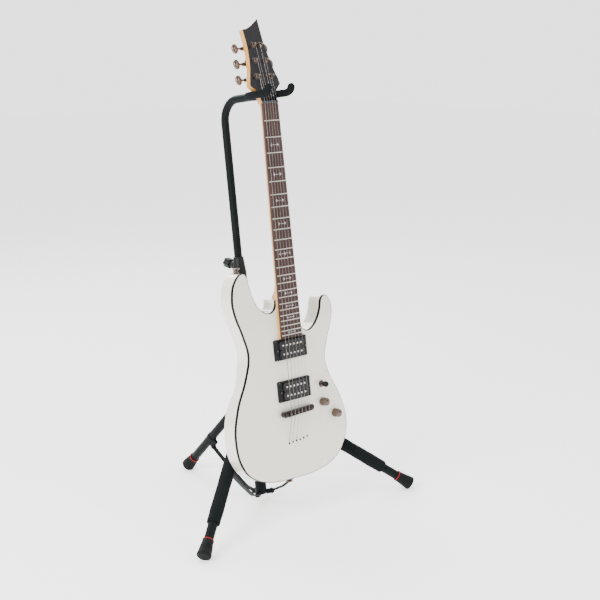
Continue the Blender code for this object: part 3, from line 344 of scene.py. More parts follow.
class Shape:
    """Closed forms gathered in one mesh, each placed by a matrix."""

    def __init__(self, place=IDENTITY):
        self.bm = bmesh.new()
        self.place = place

    def added(self, known):
        """The points that weren't there before."""
        return [vert for vert in self.bm.verts if vert not in known]

    def settle(self, known, at, weld=True):
        """Welds the newest form, turns its faces outwards and puts it in place."""
        if weld:
            bmesh.ops.remove_doubles(self.bm, verts=self.added(known), dist=0.000001)
        verts = self.added(known)
        faces = list({face for vert in verts for face in vert.link_faces})
        bmesh.ops.recalc_face_normals(self.bm, faces=faces)
        bmesh.ops.transform(self.bm, matrix=at, verts=verts)
        return self

    def lathe(self, profile, at=IDENTITY, steps=40):
        """Turns a profile of (radius, height) round Z. One that starts off the axis closes on itself."""
        known = set(self.bm.verts)
        verts = [self.bm.verts.new((point[0], 0, point[1])) for point in profile]
        pairs = list(zip(verts, verts[1:]))
        if profile[0][0] > 0.00001:
            pairs.append((verts[-1], verts[0]))
        edges = [self.bm.edges.new(pair) for pair in pairs]
        bmesh.ops.spin(self.bm, geom=[*verts, *edges], cent=(0, 0, 0), axis=(0, 0, 1), angle=math.tau,
                       steps=steps, use_merge=True)
        return self.settle(known, at)

    def tube(self, outer, inner, top, bottom, radius, at=IDENTITY, steps=40):
        """A straight ring round Z, with its rims rounded."""
        wall = [(outer, top), (outer, bottom), (inner, bottom), (inner, top)]
        return self.lathe(rounded(wall, radius), at, steps)

    def box(self, low, high, bevel=0.0, at=IDENTITY, segments=2):
        """A block between two corners, with its edges rounded."""
        known = set(self.bm.verts)
        low, high = Vector(low), Vector(high)
        size = Matrix.Diagonal((*(high - low), 1))
        bmesh.ops.create_cube(self.bm, size=1, matrix=Matrix.Translation((low + high) / 2) @ size)
        if bevel:
            self.soften({edge for vert in self.added(known) for edge in vert.link_edges}, bevel, segments)
        return self.settle(known, at, weld=False)

    def soften(self, edges, width, segments):
        """Rounds edges over."""
        bmesh.ops.bevel(self.bm, geom=list(edges), offset=width, segments=segments, profile=0.5,
                        affect="EDGES", material=-1)

    def rod(self, start, end, radius, bevel=0.0, sides=20, at=IDENTITY, end_radius=None):
        """A round bar between two points, with its rims rounded."""
        known = set(self.bm.verts)
        start, end = Vector(start), Vector(end)
        bmesh.ops.create_cone(self.bm, cap_ends=True, segments=sides, radius1=radius,
                              radius2=radius if end_radius is None else end_radius, depth=(end - start).length)
        if bevel:
            caps = [face for vert in self.added(known) for face in vert.link_faces if len(face.verts) > 4]
            self.soften({edge for face in caps for edge in face.edges}, bevel, 2)
        return self.settle(known, at @ facing((start + end) / 2, end - start), weld=False)

    def ball(self, centre, radii, at=IDENTITY, rings=16, sides=24):
        """An egg shape with its own radius along each axis."""
        known = set(self.bm.verts)
        bmesh.ops.create_uvsphere(self.bm, u_segments=sides, v_segments=rings, radius=1)
        return self.settle(known, at @ Matrix.Translation(centre) @ Matrix.Diagonal((*radii, 1)), weld=False)

    def sweep(self, path, section, at=IDENTITY, up=(0, 0, 1), widths=None):
        """Carries a flat section along a path, with its X axis kept square to up."""
        known = set(self.bm.verts)
        path = [Vector(point) for point in path]
        up = Vector(up)

        def stand(index):
            before, after = path[max(index - 1, 0)], path[min(index + 1, len(path) - 1)]
            heading = (after - before).normalized()
            side = up.cross(heading)
            side = side.normalized() if side.length > 0.001 else Vector((1, 0, 0))
            turn = Matrix((side, heading.cross(side), heading)).transposed().to_4x4()
            width = widths[index] if widths else 1
            return Matrix.Translation(path[index]) @ turn @ Matrix.Diagonal((width, width, width, 1))

        last = stand(0)
        verts = [self.bm.verts.new(last @ Vector((x, y, 0))) for x, y in section]
        rim = list(self.bm.faces.new(verts).edges)
        for index in range(1, len(path)):
            made = bmesh.ops.extrude_edge_only(self.bm, edges=rim)["geom"]
            verts = [item for item in made if isinstance(item, bmesh.types.BMVert)]
            rim = [item for item in made if isinstance(item, bmesh.types.BMEdge)
                   and all(vert in verts for vert in item.verts)]
            place = stand(index)
            bmesh.ops.transform(self.bm, matrix=place @ last.inverted(), verts=verts)
            last = place
        bmesh.ops.contextual_create(self.bm, geom=rim)
        return self.settle(known, at, weld=False)

    def plate(self, outline, front, back, at=IDENTITY, front_bevel=0.0, back_bevel=0.0, segments=2):
        """An outline of (across, up) pairs made a plate between two depths along Y."""
        known = set(self.bm.verts)
        face = self.bm.faces.new([self.bm.verts.new((point[0], front, point[1])) for point in outline])
        made = bmesh.ops.extrude_face_region(self.bm, geom=[face], use_keep_orig=True)["geom"]
        moved = [item for item in made if isinstance(item, bmesh.types.BMVert)]
        bmesh.ops.translate(self.bm, vec=(0, back - front, 0), verts=moved)
        for depth, width in ((front, front_bevel), (back, back_bevel)):
            if width:
                self.soften({
                    edge for vert in self.added(known) for edge in vert.link_edges
                    if all(abs(end.co.y - depth) < 0.00001 for end in edge.verts)
                }, width, segments)
        return self.settle(known, at, weld=False)

    def screw(self, at, radius=0.0022, height=0.0010):
        """A cross-recess screw head that rises along its frame's Z."""
        known = set(self.bm.verts)
        made = bmesh.ops.create_circle(self.bm, cap_ends=True, segments=12, radius=radius)["verts"]
        face = made[0].link_faces[0]
        for inset, rise in ((0.0, height * 0.6), (radius * 0.22, height * 0.4)):
            if inset:
                bmesh.ops.inset_region(self.bm, faces=[face], thickness=inset, use_even_offset=True)
                bmesh.ops.translate(self.bm, vec=(0, 0, rise), verts=face.verts)
            else:
                face = bmesh.ops.extrude_discrete_faces(self.bm, faces=[face])["faces"][0]
                bmesh.ops.translate(self.bm, vec=(0, 0, rise), verts=face.verts)
        bmesh.ops.inset_region(self.bm, faces=[face], thickness=radius * 0.2, use_even_offset=True)
        for index, vert in enumerate(face.verts):
            reach = radius * (0.14 if index % 3 == 0 else 0.50)
            spread = math.radians((0, -19, 19)[index % 3])
            angle = math.atan2(vert.co.y, vert.co.x) + spread
            vert.co.x = reach * math.cos(angle)
            vert.co.y = reach * math.sin(angle)
        face = bmesh.ops.extrude_discrete_faces(self.bm, faces=[face])["faces"][0]
        bmesh.ops.translate(self.bm, vec=(0, 0, -height * 0.6), verts=face.verts)
        verts = self.added(known)
        bmesh.ops.transform(self.bm, matrix=at, verts=verts)
        return self

    def lobed(self, radius, dip, lobes, bottom, top, at=IDENTITY, crown=0.002):
        """A grip whose rim runs in and out in soft lobes."""
        known = set(self.bm.verts)
        sides = lobes * 10
        base = bmesh.ops.create_circle(self.bm, cap_ends=True, segments=sides, radius=radius)["verts"]
        for vert in base:
            angle = math.atan2(vert.co.y, vert.co.x)
            width = 1 - dip * (0.5 - 0.5 * math.cos(lobes * angle)) ** 1.6
            vert.co = (vert.co.x * width, vert.co.y * width, bottom)
        face = base[0].link_faces[0]
        face = bmesh.ops.extrude_discrete_faces(self.bm, faces=[face])["faces"][0]
        bmesh.ops.translate(self.bm, vec=(0, 0, top - bottom), verts=face.verts)
        rings = ((0.0007, 0.0006), (0.0012, 0.0004), (radius * 0.30, crown * 0.5), (0.0006, -0.0009))
        for inset, rise in rings:
            bmesh.ops.inset_region(self.bm, faces=[face], thickness=inset, use_even_offset=False)
            bmesh.ops.translate(self.bm, vec=(0, 0, rise), verts=face.verts)
        return self.settle(known, at, weld=False)


def piece(name, shape, finish, body, stands_for=(), sharp=32, smooth_faces=False):
    """Makes the gathered shape a piece that rides on a body."""
    shape.bm.transform(shape.place)
    mesh = bpy.data.meshes.new(name)
    shape.bm.to_mesh(mesh)
    shape.bm.free()
    mesh.shade_smooth()
    mesh.set_sharp_from_angle(angle=math.radians(sharp))
    made = bpy.data.objects.new(name, mesh)
    bpy.context.scene.collection.objects.link(made)
    for kind in (finish if isinstance(finish, (list, tuple)) else [finish]):
        mesh.materials.append(FINISHES.get(kind))
    if smooth_faces:
        level = made.modifiers.new("flat faces", "WEIGHTED_NORMAL")
        level.keep_sharp = True
    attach(made, body)
    if stands_for:
        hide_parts(*stands_for)
    return made


def carve(target, *cutters):
    """Cuts shapes out of a piece."""
    tools = []
    for number, shape in enumerate(cutters):
        shape.bm.transform(shape.place)
        mesh = bpy.data.meshes.new(f"cutter_{number}")
        shape.bm.to_mesh(mesh)
        shape.bm.free()
        tool = bpy.data.objects.new(mesh.name, mesh)
        bpy.context.scene.collection.objects.link(tool)
        step = target.modifiers.new(mesh.name, "BOOLEAN")
        step.operation = "DIFFERENCE"
        step.solver = "EXACT"
        step.object = tool
        tools.append(tool)
    graph = bpy.context.evaluated_depsgraph_get()
    mesh = bpy.data.meshes.new_from_object(target.evaluated_get(graph), depsgraph=graph)
    for step in [step for step in target.modifiers if step.type == "BOOLEAN"]:
        target.modifiers.remove(step)
    for tool in tools:
        bpy.data.objects.remove(tool)
    if not mesh.polygons:
        raise RuntimeError(f"nothing is left of {target.name}")
    mesh.shade_smooth()
    mesh.set_sharp_from_angle(angle=math.radians(32))
    target.data = mesh


# Finishes


class Value:
    """A shader socket. Sums and products of values add their Math nodes."""

    def __init__(self, recipe, socket):
        self.recipe = recipe
        self.socket = socket

    def _math(self, kind, *values):
        return self.recipe.node("ShaderNodeMath", {"operation": kind}, list(values))

    def __add__(self, other):
        return self._math("ADD", self, other)

    def __sub__(self, other):
        return self._math("SUBTRACT", self, other)

    def __rsub__(self, other):
        return self._math("SUBTRACT", other, self)

    def __mul__(self, other):
        return self._math("MULTIPLY", self, other)

    __radd__ = __add__
    __rmul__ = __mul__

    def clamped(self, low, high):
        return self._math("MINIMUM", self._math("MAXIMUM", self, low), high)


class Recipe:
    """One finish's material and the nodes that vary it."""

    def __init__(self, name):
        self.material = bpy.data.materials.new(name)
        self.material.use_nodes = True
        self.tree = self.material.node_tree
        self.shader = self.tree.nodes["Principled BSDF"]
        self.place = self.node("ShaderNodeTexCoord", {}, output="Object")

    def node(self, kind, settings, inputs=(), output=0, **named):
        """Adds a node, sets it up, fills its sockets and gives one output."""
        made = self.tree.nodes.new(kind)
        for key, value in settings.items():
            if key == "stops":
                for stop, (position, colour) in zip(self._stops(made, len(value)), value):
                    stop.position = position
                    stop.color = (*colour, 1)
            else:
                setattr(made, key, value)
        for key, value in [*enumerate(inputs), *((name.replace("_", " "), v) for name, v in named.items())]:
            if isinstance(value, Value):
                self.tree.links.new(value.socket, made.inputs[key])
            elif value is not None:
                made.inputs[key].default_value = value
        return Value(self, made.outputs[output])

    def _stops(self, ramp, count):
        stops = ramp.color_ramp.elements
        while len(stops) < count:
            stops.new(0.5)
        return stops

    def set(self, **values):
        """Fills the shader's own sockets."""
        for name, value in values.items():
            socket = self.shader.inputs[name.replace("_", " ")]
            if isinstance(value, Value):
                self.tree.links.new(value.socket, socket)
            else:
                socket.default_value = (*value, 1) if isinstance(value, tuple) and len(value) == 3 else value
        return self

    def along(self, scale):
        """Object coordinates turned into the leaning frame and stretched."""
        turned = self.node("ShaderNodeMapping", {}, Vector=self.place, Rotation=(LEAN, 0, 0))
        return self.node("ShaderNodeVectorMath", {"operation": "MULTIPLY"}, [turned, scale])

    def noise(self, scale, detail=2.0, roughness=0.5, where=None, distortion=0.0):
        """Soft random variation."""
        return self.node("ShaderNodeTexNoise", {}, Vector=where or self.place, Scale=scale, Detail=detail,
                         Roughness=roughness, Distortion=distortion)

    def mix(self, factor, first, second):
        """Mixes two colours."""
        made = self.tree.nodes.new("ShaderNodeMix")
        made.data_type = "RGBA"
        for index, value in ((0, factor), (6, first), (7, second)):
            if isinstance(value, Value):
                self.tree.links.new(value.socket, made.inputs[index])
            else:
                made.inputs[index].default_value = (*value, 1) if isinstance(value, tuple) else value
        return Value(self, made.outputs[2])

    def ramp(self, factor, stops):
        return self.node("ShaderNodeValToRGB", {"stops": stops}, [factor])

    def bump(self, height, strength, distance=0.0002):
        return self.node("ShaderNodeBump", {}, Height=height, Strength=strength, Distance=distance)


def scaled(colour, factor):
    """The colour made darker or paler by a factor."""
    return tuple(min(1.0, channel * factor) for channel in colour)


def white_lacquer():
    """Warm white lacquer under a clear coat, with a faint orange peel."""
    recipe = Recipe("white_lacquer")
    base = tuple(colours().lacquer)
    cloud = recipe.noise(5.0, 3.0)
    peel = recipe.noise(420.0, 1.0)
    haze = recipe.noise(38.0, 4.0, 0.6)
    tint = recipe.mix((cloud - 0.35).clamped(0.0, 1.0), base, scaled(base, 0.965))
    return recipe.set(Base_Color=tint, Roughness=haze * 0.10 + 0.13, Normal=recipe.bump(peel, 0.035, 0.0001),
                      Coat_Weight=1.0, Coat_Roughness=0.04, Coat_IOR=1.5)


def edge_binding():
    recipe = Recipe("edge_binding")
    haze = recipe.noise(60.0, 3.0)
    tint = recipe.mix(haze, (0.002, 0.002, 0.0024), (0.005, 0.005, 0.0055))
    return recipe.set(Base_Color=tint, Roughness=haze * 0.15 + 0.32, Specular_IOR_Level=0.08)


def maple():
    """Amber maple, with its grain along the neck."""
    recipe = Recipe("maple")
    base = tuple(colours().maple)
    grain = recipe.noise(1.0, 6.0, 0.62, recipe.along((190, 150, 7)), 0.25)
    broad = recipe.noise(1.0, 3.0, 0.5, recipe.along((42, 36, 4)))
    flecks = recipe.noise(1.0, 2.0, 0.5, recipe.along((900, 700, 75)))
    lines = recipe.ramp(grain, [(0.30, scaled(base, 0.72)), (0.50, base), (0.72, scaled(base, 1.16))])
    honey = scaled((base[0], base[1] * 0.9, base[2] * 0.8), 0.86)
    warm = recipe.mix((broad * 1.6 - 0.45).clamped(0.0, 0.75), lines, honey)
    tint = recipe.mix((flecks - 0.58).clamped(0.0, 0.25), warm, scaled(base, 0.5))
    return recipe.set(Base_Color=tint, Roughness=grain * 0.16 + 0.22, Normal=recipe.bump(grain, 0.10, 0.0001),
                      Coat_Weight=0.45, Coat_Roughness=0.18)


def rosewood():
    """Dark open-pored rosewood, with its grain along the board."""
    recipe = Recipe("rosewood")
    base = tuple(colours().rosewood)
    grain = recipe.noise(1.0, 7.0, 0.65, recipe.along((260, 200, 9)), 0.35)
    figure = recipe.noise(1.0, 3.0, 0.5, recipe.along((70, 60, 5)), 0.6)
    pores = recipe.noise(1.0, 2.0, 0.5, recipe.along((1500, 1200, 110)))
    streak = recipe.ramp(grain, [(0.28, scaled(base, 0.45)), (0.48, base), (0.60, scaled(base, 1.35)),
                                 (0.78, scaled(base, 2.0))])
    tint = recipe.mix((figure * 1.5 - 0.35).clamped(0.0, 0.8), streak, scaled(base, 0.62))
    open_pores = (pores - 0.60).clamped(0.0, 0.2)
    tint = recipe.mix(open_pores * 3.5, tint, scaled(base, 0.2))
    return recipe.set(Base_Color=tint, Roughness=grain * 0.22 + 0.42, Specular_IOR_Level=0.25,
                      Normal=recipe.bump(grain * 0.5 - open_pores * 3.0, 0.35, 0.00015))


def head_black():
    recipe = Recipe("head_black")
    haze = recipe.noise(45.0, 4.0)
    peel = recipe.noise(500.0, 1.0)
    tint = recipe.mix(haze, (0.004, 0.0035, 0.005), (0.009, 0.008, 0.011))
    return recipe.set(Base_Color=tint, Roughness=haze * 0.12 + 0.20, Normal=recipe.bump(peel, 0.03, 0.0001),
                      Specular_IOR_Level=0.22, Coat_Weight=0.12, Coat_Roughness=0.05)


def plated(name, colour, roughness, tarnish=0.5, knurl=False):
    """A plated metal with faint handling marks, and a stronger scuff bump where it is knurled."""
    recipe = Recipe(name)
    cloud = recipe.noise(160.0, 4.0, 0.6)
    scuff = recipe.noise(1400.0, 2.0)
    tint = recipe.mix((cloud * 1.4 - 0.3).clamped(0.0, 1.0), colour, scaled(colour, tarnish))
    return recipe.set(Base_Color=tint, Metallic=1.0, Roughness=cloud * 0.18 + (roughness - 0.06),
                      Normal=recipe.bump(scuff, 0.10 if knurl else 0.05, 0.0001))


def hardware():
    return plated("dark_nickel", tuple(colours().hardware), 0.26)


def bridge_nickel():
    return plated("bridge_nickel", (0.062, 0.053, 0.048), 0.24)


def fret_nickel():
    return plated("fret_nickel", (0.60, 0.56, 0.50), 0.36, 0.8)


def pole_steel():
    return plated("pole_steel", (0.80, 0.77, 0.70), 0.30, 0.8)


def plain_wire():
    return plated("plain_wire", (0.40, 0.37, 0.34), 0.42, 0.8)


def wound_wire():
    """A bass string's wrap, whose turns lie across it, with painted shade in the grooves between them."""
    recipe = Recipe("wound_wire")
    rows = recipe.node("ShaderNodeTexWave", {"wave_type": "BANDS", "bands_direction": "Z"},
                       Vector=recipe.along((1, 1, 1)), Scale=260.0, Distortion=0.0)
    turns = recipe.node("ShaderNodeSeparateColor", {}, [rows])
    cloud = recipe.noise(220.0, 3.0)
    # Painted shade: the grooves between the turns are painted darker than the wire's own colour.
    tint = recipe.mix(turns * 0.7, (0.12, 0.10, 0.09), (0.40, 0.36, 0.32))
    return recipe.set(Base_Color=tint, Metallic=1.0, Roughness=cloud * 0.2 + 0.28,
                      Normal=recipe.bump(turns, 0.6, 0.0001))


def moulded_black():
    recipe = Recipe("moulded_black")
    cloud = recipe.noise(70.0, 4.0)
    grain = recipe.noise(1800.0, 2.0)
    tint = recipe.mix(cloud, (0.005, 0.0056, 0.0056), (0.011, 0.012, 0.012))
    return recipe.set(Base_Color=tint, Roughness=cloud * 0.2 + 0.36, Normal=recipe.bump(grain, 0.25, 0.00008),
                      Specular_IOR_Level=0.12)


def bobbin_black():
    recipe = Recipe("bobbin_black")
    cloud = recipe.noise(90.0, 4.0)
    grain = recipe.noise(1500.0, 2.0)
    tint = recipe.mix(cloud, (0.007, 0.006, 0.007), (0.018, 0.016, 0.018))
    return recipe.set(Base_Color=tint, Roughness=cloud * 0.15 + 0.22, Normal=recipe.bump(grain, 0.08, 0.00006),
                      Specular_IOR_Level=0.25)


def powder_coat():
    """Satin powder coat with a fine peel and light rubs along the tubes."""
    recipe = Recipe("powder_coat")
    base = tuple(colours().stand)
    peel = recipe.noise(900.0, 3.0, 0.6)
    cloud = recipe.noise(14.0, 4.0)
    rub = recipe.noise(1.0, 5.0, 0.7, recipe.along((160, 160, 12)))
    tint = recipe.mix(cloud, scaled(base, 0.75), scaled(base, 1.35))
    tint = recipe.mix((rub - 0.62).clamped(0.0, 0.2), tint, (0.07, 0.08, 0.08))
    return recipe.set(Base_Color=tint, Roughness=cloud * 0.16 + 0.36, Normal=recipe.bump(peel, 0.28, 0.00012),
                      Specular_IOR_Level=0.06)


def soft_foam():
    """Closed-cell foam: matt, with small pits and scuffed patches."""
    recipe = Recipe("soft_foam")
    base = tuple(colours().foam)
    cells = recipe.node("ShaderNodeTexVoronoi", {"feature": "F1"}, Vector=recipe.place, Scale=900.0)
    grain = recipe.noise(2200.0, 3.0, 0.7)
    patch = recipe.noise(26.0, 5.0, 0.6)
    dust = recipe.noise(340.0, 4.0, 0.7)
    tint = recipe.mix((patch * 1.5 - 0.3).clamped(0.0, 1.0), scaled(base, 0.75), scaled(base, 1.6))
    tint = recipe.mix((dust - 0.60).clamped(0.0, 0.2), tint, (0.06, 0.065, 0.065))
    return recipe.set(Base_Color=tint, Roughness=patch * 0.08 + 0.86,
                      Normal=recipe.bump(cells * 0.6 + grain * 0.5, 0.55, 0.0003), Specular_IOR_Level=0.06)


def boot_rubber():
    recipe = Recipe("boot_rubber")
    cloud = recipe.noise(60.0, 4.0)
    grain = recipe.noise(1300.0, 3.0)
    tint = recipe.mix(cloud, (0.0035, 0.004, 0.004), (0.008, 0.0085, 0.009))
    return recipe.set(Base_Color=tint, Roughness=cloud * 0.18 + 0.50, Normal=recipe.bump(grain, 0.3, 0.0001),
                      Specular_IOR_Level=0.08)


def ring_red():
    recipe = Recipe("ring_red")
    base = tuple(colours().ring)
    cloud = recipe.noise(150.0, 3.0)
    tint = recipe.mix(cloud, scaled(base, 0.8), scaled(base, 1.15))
    grain = recipe.noise(1500.0)
    return recipe.set(Base_Color=tint, Roughness=cloud * 0.15 + 0.38, Normal=recipe.bump(grain, 0.1),
                      Specular_IOR_Level=0.2)


def pearl():
    """Inlay pearl: soft folds that shift between cream, pink and green."""
    recipe = Recipe("pearl")
    folds = recipe.noise(210.0, 4.0, 0.6, distortion=1.2)
    tint = recipe.ramp(folds, [
        (0.30, (0.30, 0.32, 0.31)), (0.48, (0.52, 0.51, 0.50)),
        (0.62, (0.46, 0.42, 0.44)), (0.76, (0.60, 0.60, 0.58)),
    ])
    return recipe.set(Base_Color=tint, Roughness=folds * 0.15 + 0.16, Coat_Weight=0.5, Coat_Roughness=0.08)


def nut_black():
    recipe = Recipe("nut_black")
    cloud = recipe.noise(300.0, 4.0)
    tint = recipe.mix(cloud, (0.014, 0.014, 0.015), (0.035, 0.035, 0.036))
    return recipe.set(Base_Color=tint, Roughness=cloud * 0.2 + 0.34, Normal=recipe.bump(cloud, 0.1, 0.0001))


def floor_paint():
    recipe = Recipe("floor_paint")
    cloud = recipe.noise(2.0, 3.0)
    tint = recipe.mix(cloud, (0.93, 0.93, 0.93), (0.95, 0.95, 0.95))
    return recipe.set(Base_Color=tint, Roughness=0.7, Emission_Color=(1.0, 1.0, 1.0), Emission_Strength=0.75)


class Finishes:
    """Makes each finish the first time that a piece asks for it."""

    MAKERS = {
        "lacquer": white_lacquer, "binding": edge_binding, "maple": maple, "rosewood": rosewood,
        "head": head_black, "hardware": hardware, "bridge": bridge_nickel, "frets": fret_nickel,
        "poles": pole_steel, "plain wire": plain_wire, "wound wire": wound_wire,
        "plastic": moulded_black, "bobbin": bobbin_black,
        "coat": powder_coat, "foam": soft_foam, "rubber": boot_rubber, "ring": ring_red, "pearl": pearl,
        "nut": nut_black, "floor": floor_paint,
    }

    def __init__(self):
        self.made = {}

    def get(self, name):
        if name not in self.made:
            self.made[name] = self.MAKERS[name]().material
        return self.made[name]


FINISHES = Finishes()


# Stand


def make_columns():
    sizes = stand_sizes()
    outer, inner = sizes.lower_radius, sizes.lower_radius - 0.0012
    lower = Shape(COLUMN).tube(outer, inner, 0.503, 0.0038, 0.0004)
    piece("lower_tube", lower, "coat", "stand_column", ["lower_column"])

    bend, radius = 0.8266, 0.047
    path = [Vector((0, 0, 0.350)), Vector((0, 0, 0.55)), Vector((0, 0, 0.75)), Vector((0, 0, bend))]
    for step in range(1, 25):
        angle = math.pi / 2 * step / 24
        path.append(Vector((0, -radius * (1 - math.cos(angle)), bend + radius * math.sin(angle))))
    path.append(Vector((0, -0.1000, bend + radius)))
    arm = Shape(COLUMN).sweep(path, circle_section(sizes.upper_radius, 32), up=(1, 0, 0))
    piece("upper_tube", arm, "coat", "upper_arm", ["upper_column"])


def clamp_screw_line():
    """The height clamp's screw: Z out of the clamp, to the rear and a little up."""
    rise = math.radians(15)
    return facing((0, 0, 0.512), (0, math.cos(rise), math.sin(rise)))


def make_clamp():
    sizes = stand_sizes()
    profile = [
        (0.0104, 0.535), (0.0113, 0.5335), (0.0148, 0.502), (0.0149, 0.478), (0.0144, 0.468), (0.0113, 0.468),
        (0.0113, 0.5033), (0.00905, 0.5033), (0.00905, 0.535),
    ]
    line = clamp_screw_line()
    clamp = Shape(COLUMN).lathe(rounded(profile, 0.0008))
    boss = [(0, 0.0240), (0.0085, 0.0240), (0.0090, 0.0180), (0.0096, 0.0110), (0, 0.0110)]
    clamp.lathe(rounded(boss, 0.0008), line, 28)
    for height in (0.4725, 0.4765, 0.4805):
        clamp.lathe([(0.0146, height + 0.0008), (0.0152, height), (0.0146, height - 0.0008), (0.0135, height)])
    clamp.screw(facing((-0.0100, 0.0100, 0.488), (-1, 1, 0)), 0.0022, 0.0009)
    piece("height_sleeve", clamp, "plastic", "stand_column", ["height_clamp"])

    knob = Shape(COLUMN @ line)
    knob.lobed(sizes.knob_radius, 0.16, sizes.knob_lobes, 0.0268, 0.0440, crown=0.003)
    knob.lathe(rounded([(0, 0.0285), (0.0085, 0.0280), (0.0092, 0.0246), (0, 0.0246)], 0.0006))
    knob.rod((0, 0, 0.0106), (0, 0, 0.0270), 0.0030, 0.0003)
    piece("height_knob", knob, "plastic", "clamp_screw", ["clamp_knob"])


def make_crown():
    crown = Shape(COLUMN)
    crown.tube(0.0165, 0.0113, 0.250, 0.2115, 0.0014)
    crown.lathe([(0.0170, 0.2472), (0.0172, 0.2462), (0.0170, 0.2452), (0.0150, 0.2462)])
    for name in LEGS:
        place = COLUMN.inverted() @ station(name)
        for side in (-1, 1):
            inner, outer = side * 0.0034, side * 0.0064
            crown.rod((PIVOT_RADIUS, inner, PIVOT_HEIGHT), (PIVOT_RADIUS, outer, PIVOT_HEIGHT), 0.0077, 0.0005,
                      28, place)
            crown.box((0.0145, min(inner, outer), 0.2120), (PIVOT_RADIUS + 0.001, max(inner, outer), 0.2265),
                      0.0006, place)
    turn = Matrix.Rotation(math.radians(150), 4, "Z") @ Matrix.Translation((0, 0, 0.230))
    boss = turn @ Matrix.Rotation(math.pi / 2, 4, "Y")
    crown.lathe(rounded([(0, 0.0210), (0.0062, 0.0210), (0.0068, 0.0150), (0, 0.0150)], 0.0006), boss, 24)
    piece("leg_collar", crown, "plastic", "crown", ["leg_crown"])

    pins = Shape(COLUMN)
    for name in LEGS:
        place = COLUMN.inverted() @ station(name)
        ends = [(PIVOT_RADIUS, y, PIVOT_HEIGHT) for y in (-0.0070, 0.0070)]
        pins.rod(*ends, 0.0024, 0, 20, place)
        for side in (-1, 1):
            head = facing((PIVOT_RADIUS, side * 0.0062, PIVOT_HEIGHT), (0, side, 0))
            rivet = [(0, 0.0016), (0.0018, 0.0014), (0.0032, 0.0008), (0.0036, 0.0), (0, 0)]
            pins.lathe(rivet, place @ head, 20)
    piece("leg_pins", pins, "coat", "crown")

    knob = Shape(COLUMN @ boss)
    knob.lobed(0.0082, 0.20, 5, 0.0228, 0.0355, crown=0.002)
    knob.rod((0, 0, 0.0118), (0, 0, 0.0240), 0.0025, 0.0003)
    piece("collar_knob", knob, "plastic", "crown_screw", ["crown_knob"])


def leg_span(name):
    """Where a leg ends, measured down from its pivot."""
    return (0.3395 if name == "rear" else 0.437) - PIVOT_RADIUS / math.sin(LEG_ANGLE)


# Where a leg's bracket holds the strut's pin, measured down the leg from its pivot.
BRACKET = 0.2165 - PIVOT_RADIUS / math.sin(LEG_ANGLE)


def make_legs():
    radius = stand_sizes().leg_radius
    for name in LEGS:
        end = leg_span(name) - 0.006
        leg = Shape(leg_line(name))
        tube = [(0, end), (radius, end), (radius, 0.0150), (0.0088, 0.0106), (0, 0.0102)]
        leg.lathe(rounded(tube, 0.0012))
        leg.box((-0.0069, -0.0029, -0.0005), (0.0069, 0.0029, 0.0130), 0.0006)
        leg.rod((0, -0.003, 0), (0, 0.003, 0), 0.0072, 0.0004, 28)
        leg.tube(0.0112, 0.0095, BRACKET - 0.0050, BRACKET - 0.0160, 0.0004)
        for side in (-1, 1):
            low, high = sorted((side * 0.0019, side * 0.0039))
            leg.box((0.0088, low, BRACKET - 0.0175), (0.0205, high, BRACKET + 0.0050), 0.0005)
            leg.rod((BRACKET_REACH, low, BRACKET), (BRACKET_REACH, high, BRACKET), 0.0056, 0.0004, 24)
            head = facing((BRACKET_REACH, side * 0.0039, BRACKET), (0, side, 0))
            leg.lathe([(0, 0.0013), (0.0016, 0.0012), (0.0029, 0.0006), (0.0032, 0), (0, 0)], head, 20)
        leg.rod((BRACKET_REACH, -0.0030, BRACKET), (BRACKET_REACH, 0.0030, BRACKET), 0.0019)
        piece(f"leg_{name}_tube", leg, "coat", f"leg_{name}_group", [f"leg_{name}"])


def make_feet():
    widest = stand_sizes().boot_radius
    for name in LEGS:
        base = leg_span(name)
        mouth = base - 0.037
        profile = [
            (0.0102, mouth), (0.0119, mouth), (0.0121, mouth + 0.0080), (0.0130, base - 0.020),
            (widest - 0.0010, base - 0.010), (widest, base - 0.0035), (widest - 0.0008, base - 0.0010),
            (widest - 0.003, base), (0.0006, base), (0.0006, base - 0.0055), (0.0102, base - 0.0055),
        ]
        boot = Shape(leg_line(name)).lathe(rounded(profile, 0.0012), steps=48)
        for step in range(4):
            height = base - 0.0255 + step * 0.0032
            out = 0.0124 + step * 0.00035
            boot.lathe([(out, height - 0.0007), (out + 0.0006, height), (out, height + 0.0007),
                        (out - 0.001, height)])
        boot.bm.transform(boot.place)
        boot.place = IDENTITY
        geometry = [*boot.bm.verts, *boot.bm.edges, *boot.bm.faces]
        cut = bmesh.ops.bisect_plane(boot.bm, geom=geometry, plane_co=(0, 0, 0), plane_no=(0, 0, -1),
                                     clear_outer=True)["geom_cut"]
        rim = [item for item in cut if isinstance(item, bmesh.types.BMEdge)]
        bmesh.ops.holes_fill(boot.bm, edges=rim, sides=0)
        piece(f"foot_{name}_boot", boot, "rubber", f"leg_{name}_group", [f"foot_{name}"])

        ring = Shape(leg_line(name))
        ring.tube(0.0123, 0.0101, mouth - 0.0002, mouth - 0.0024, 0.0005)
        piece(f"foot_{name}_ring", ring, "ring", f"leg_{name}_group")


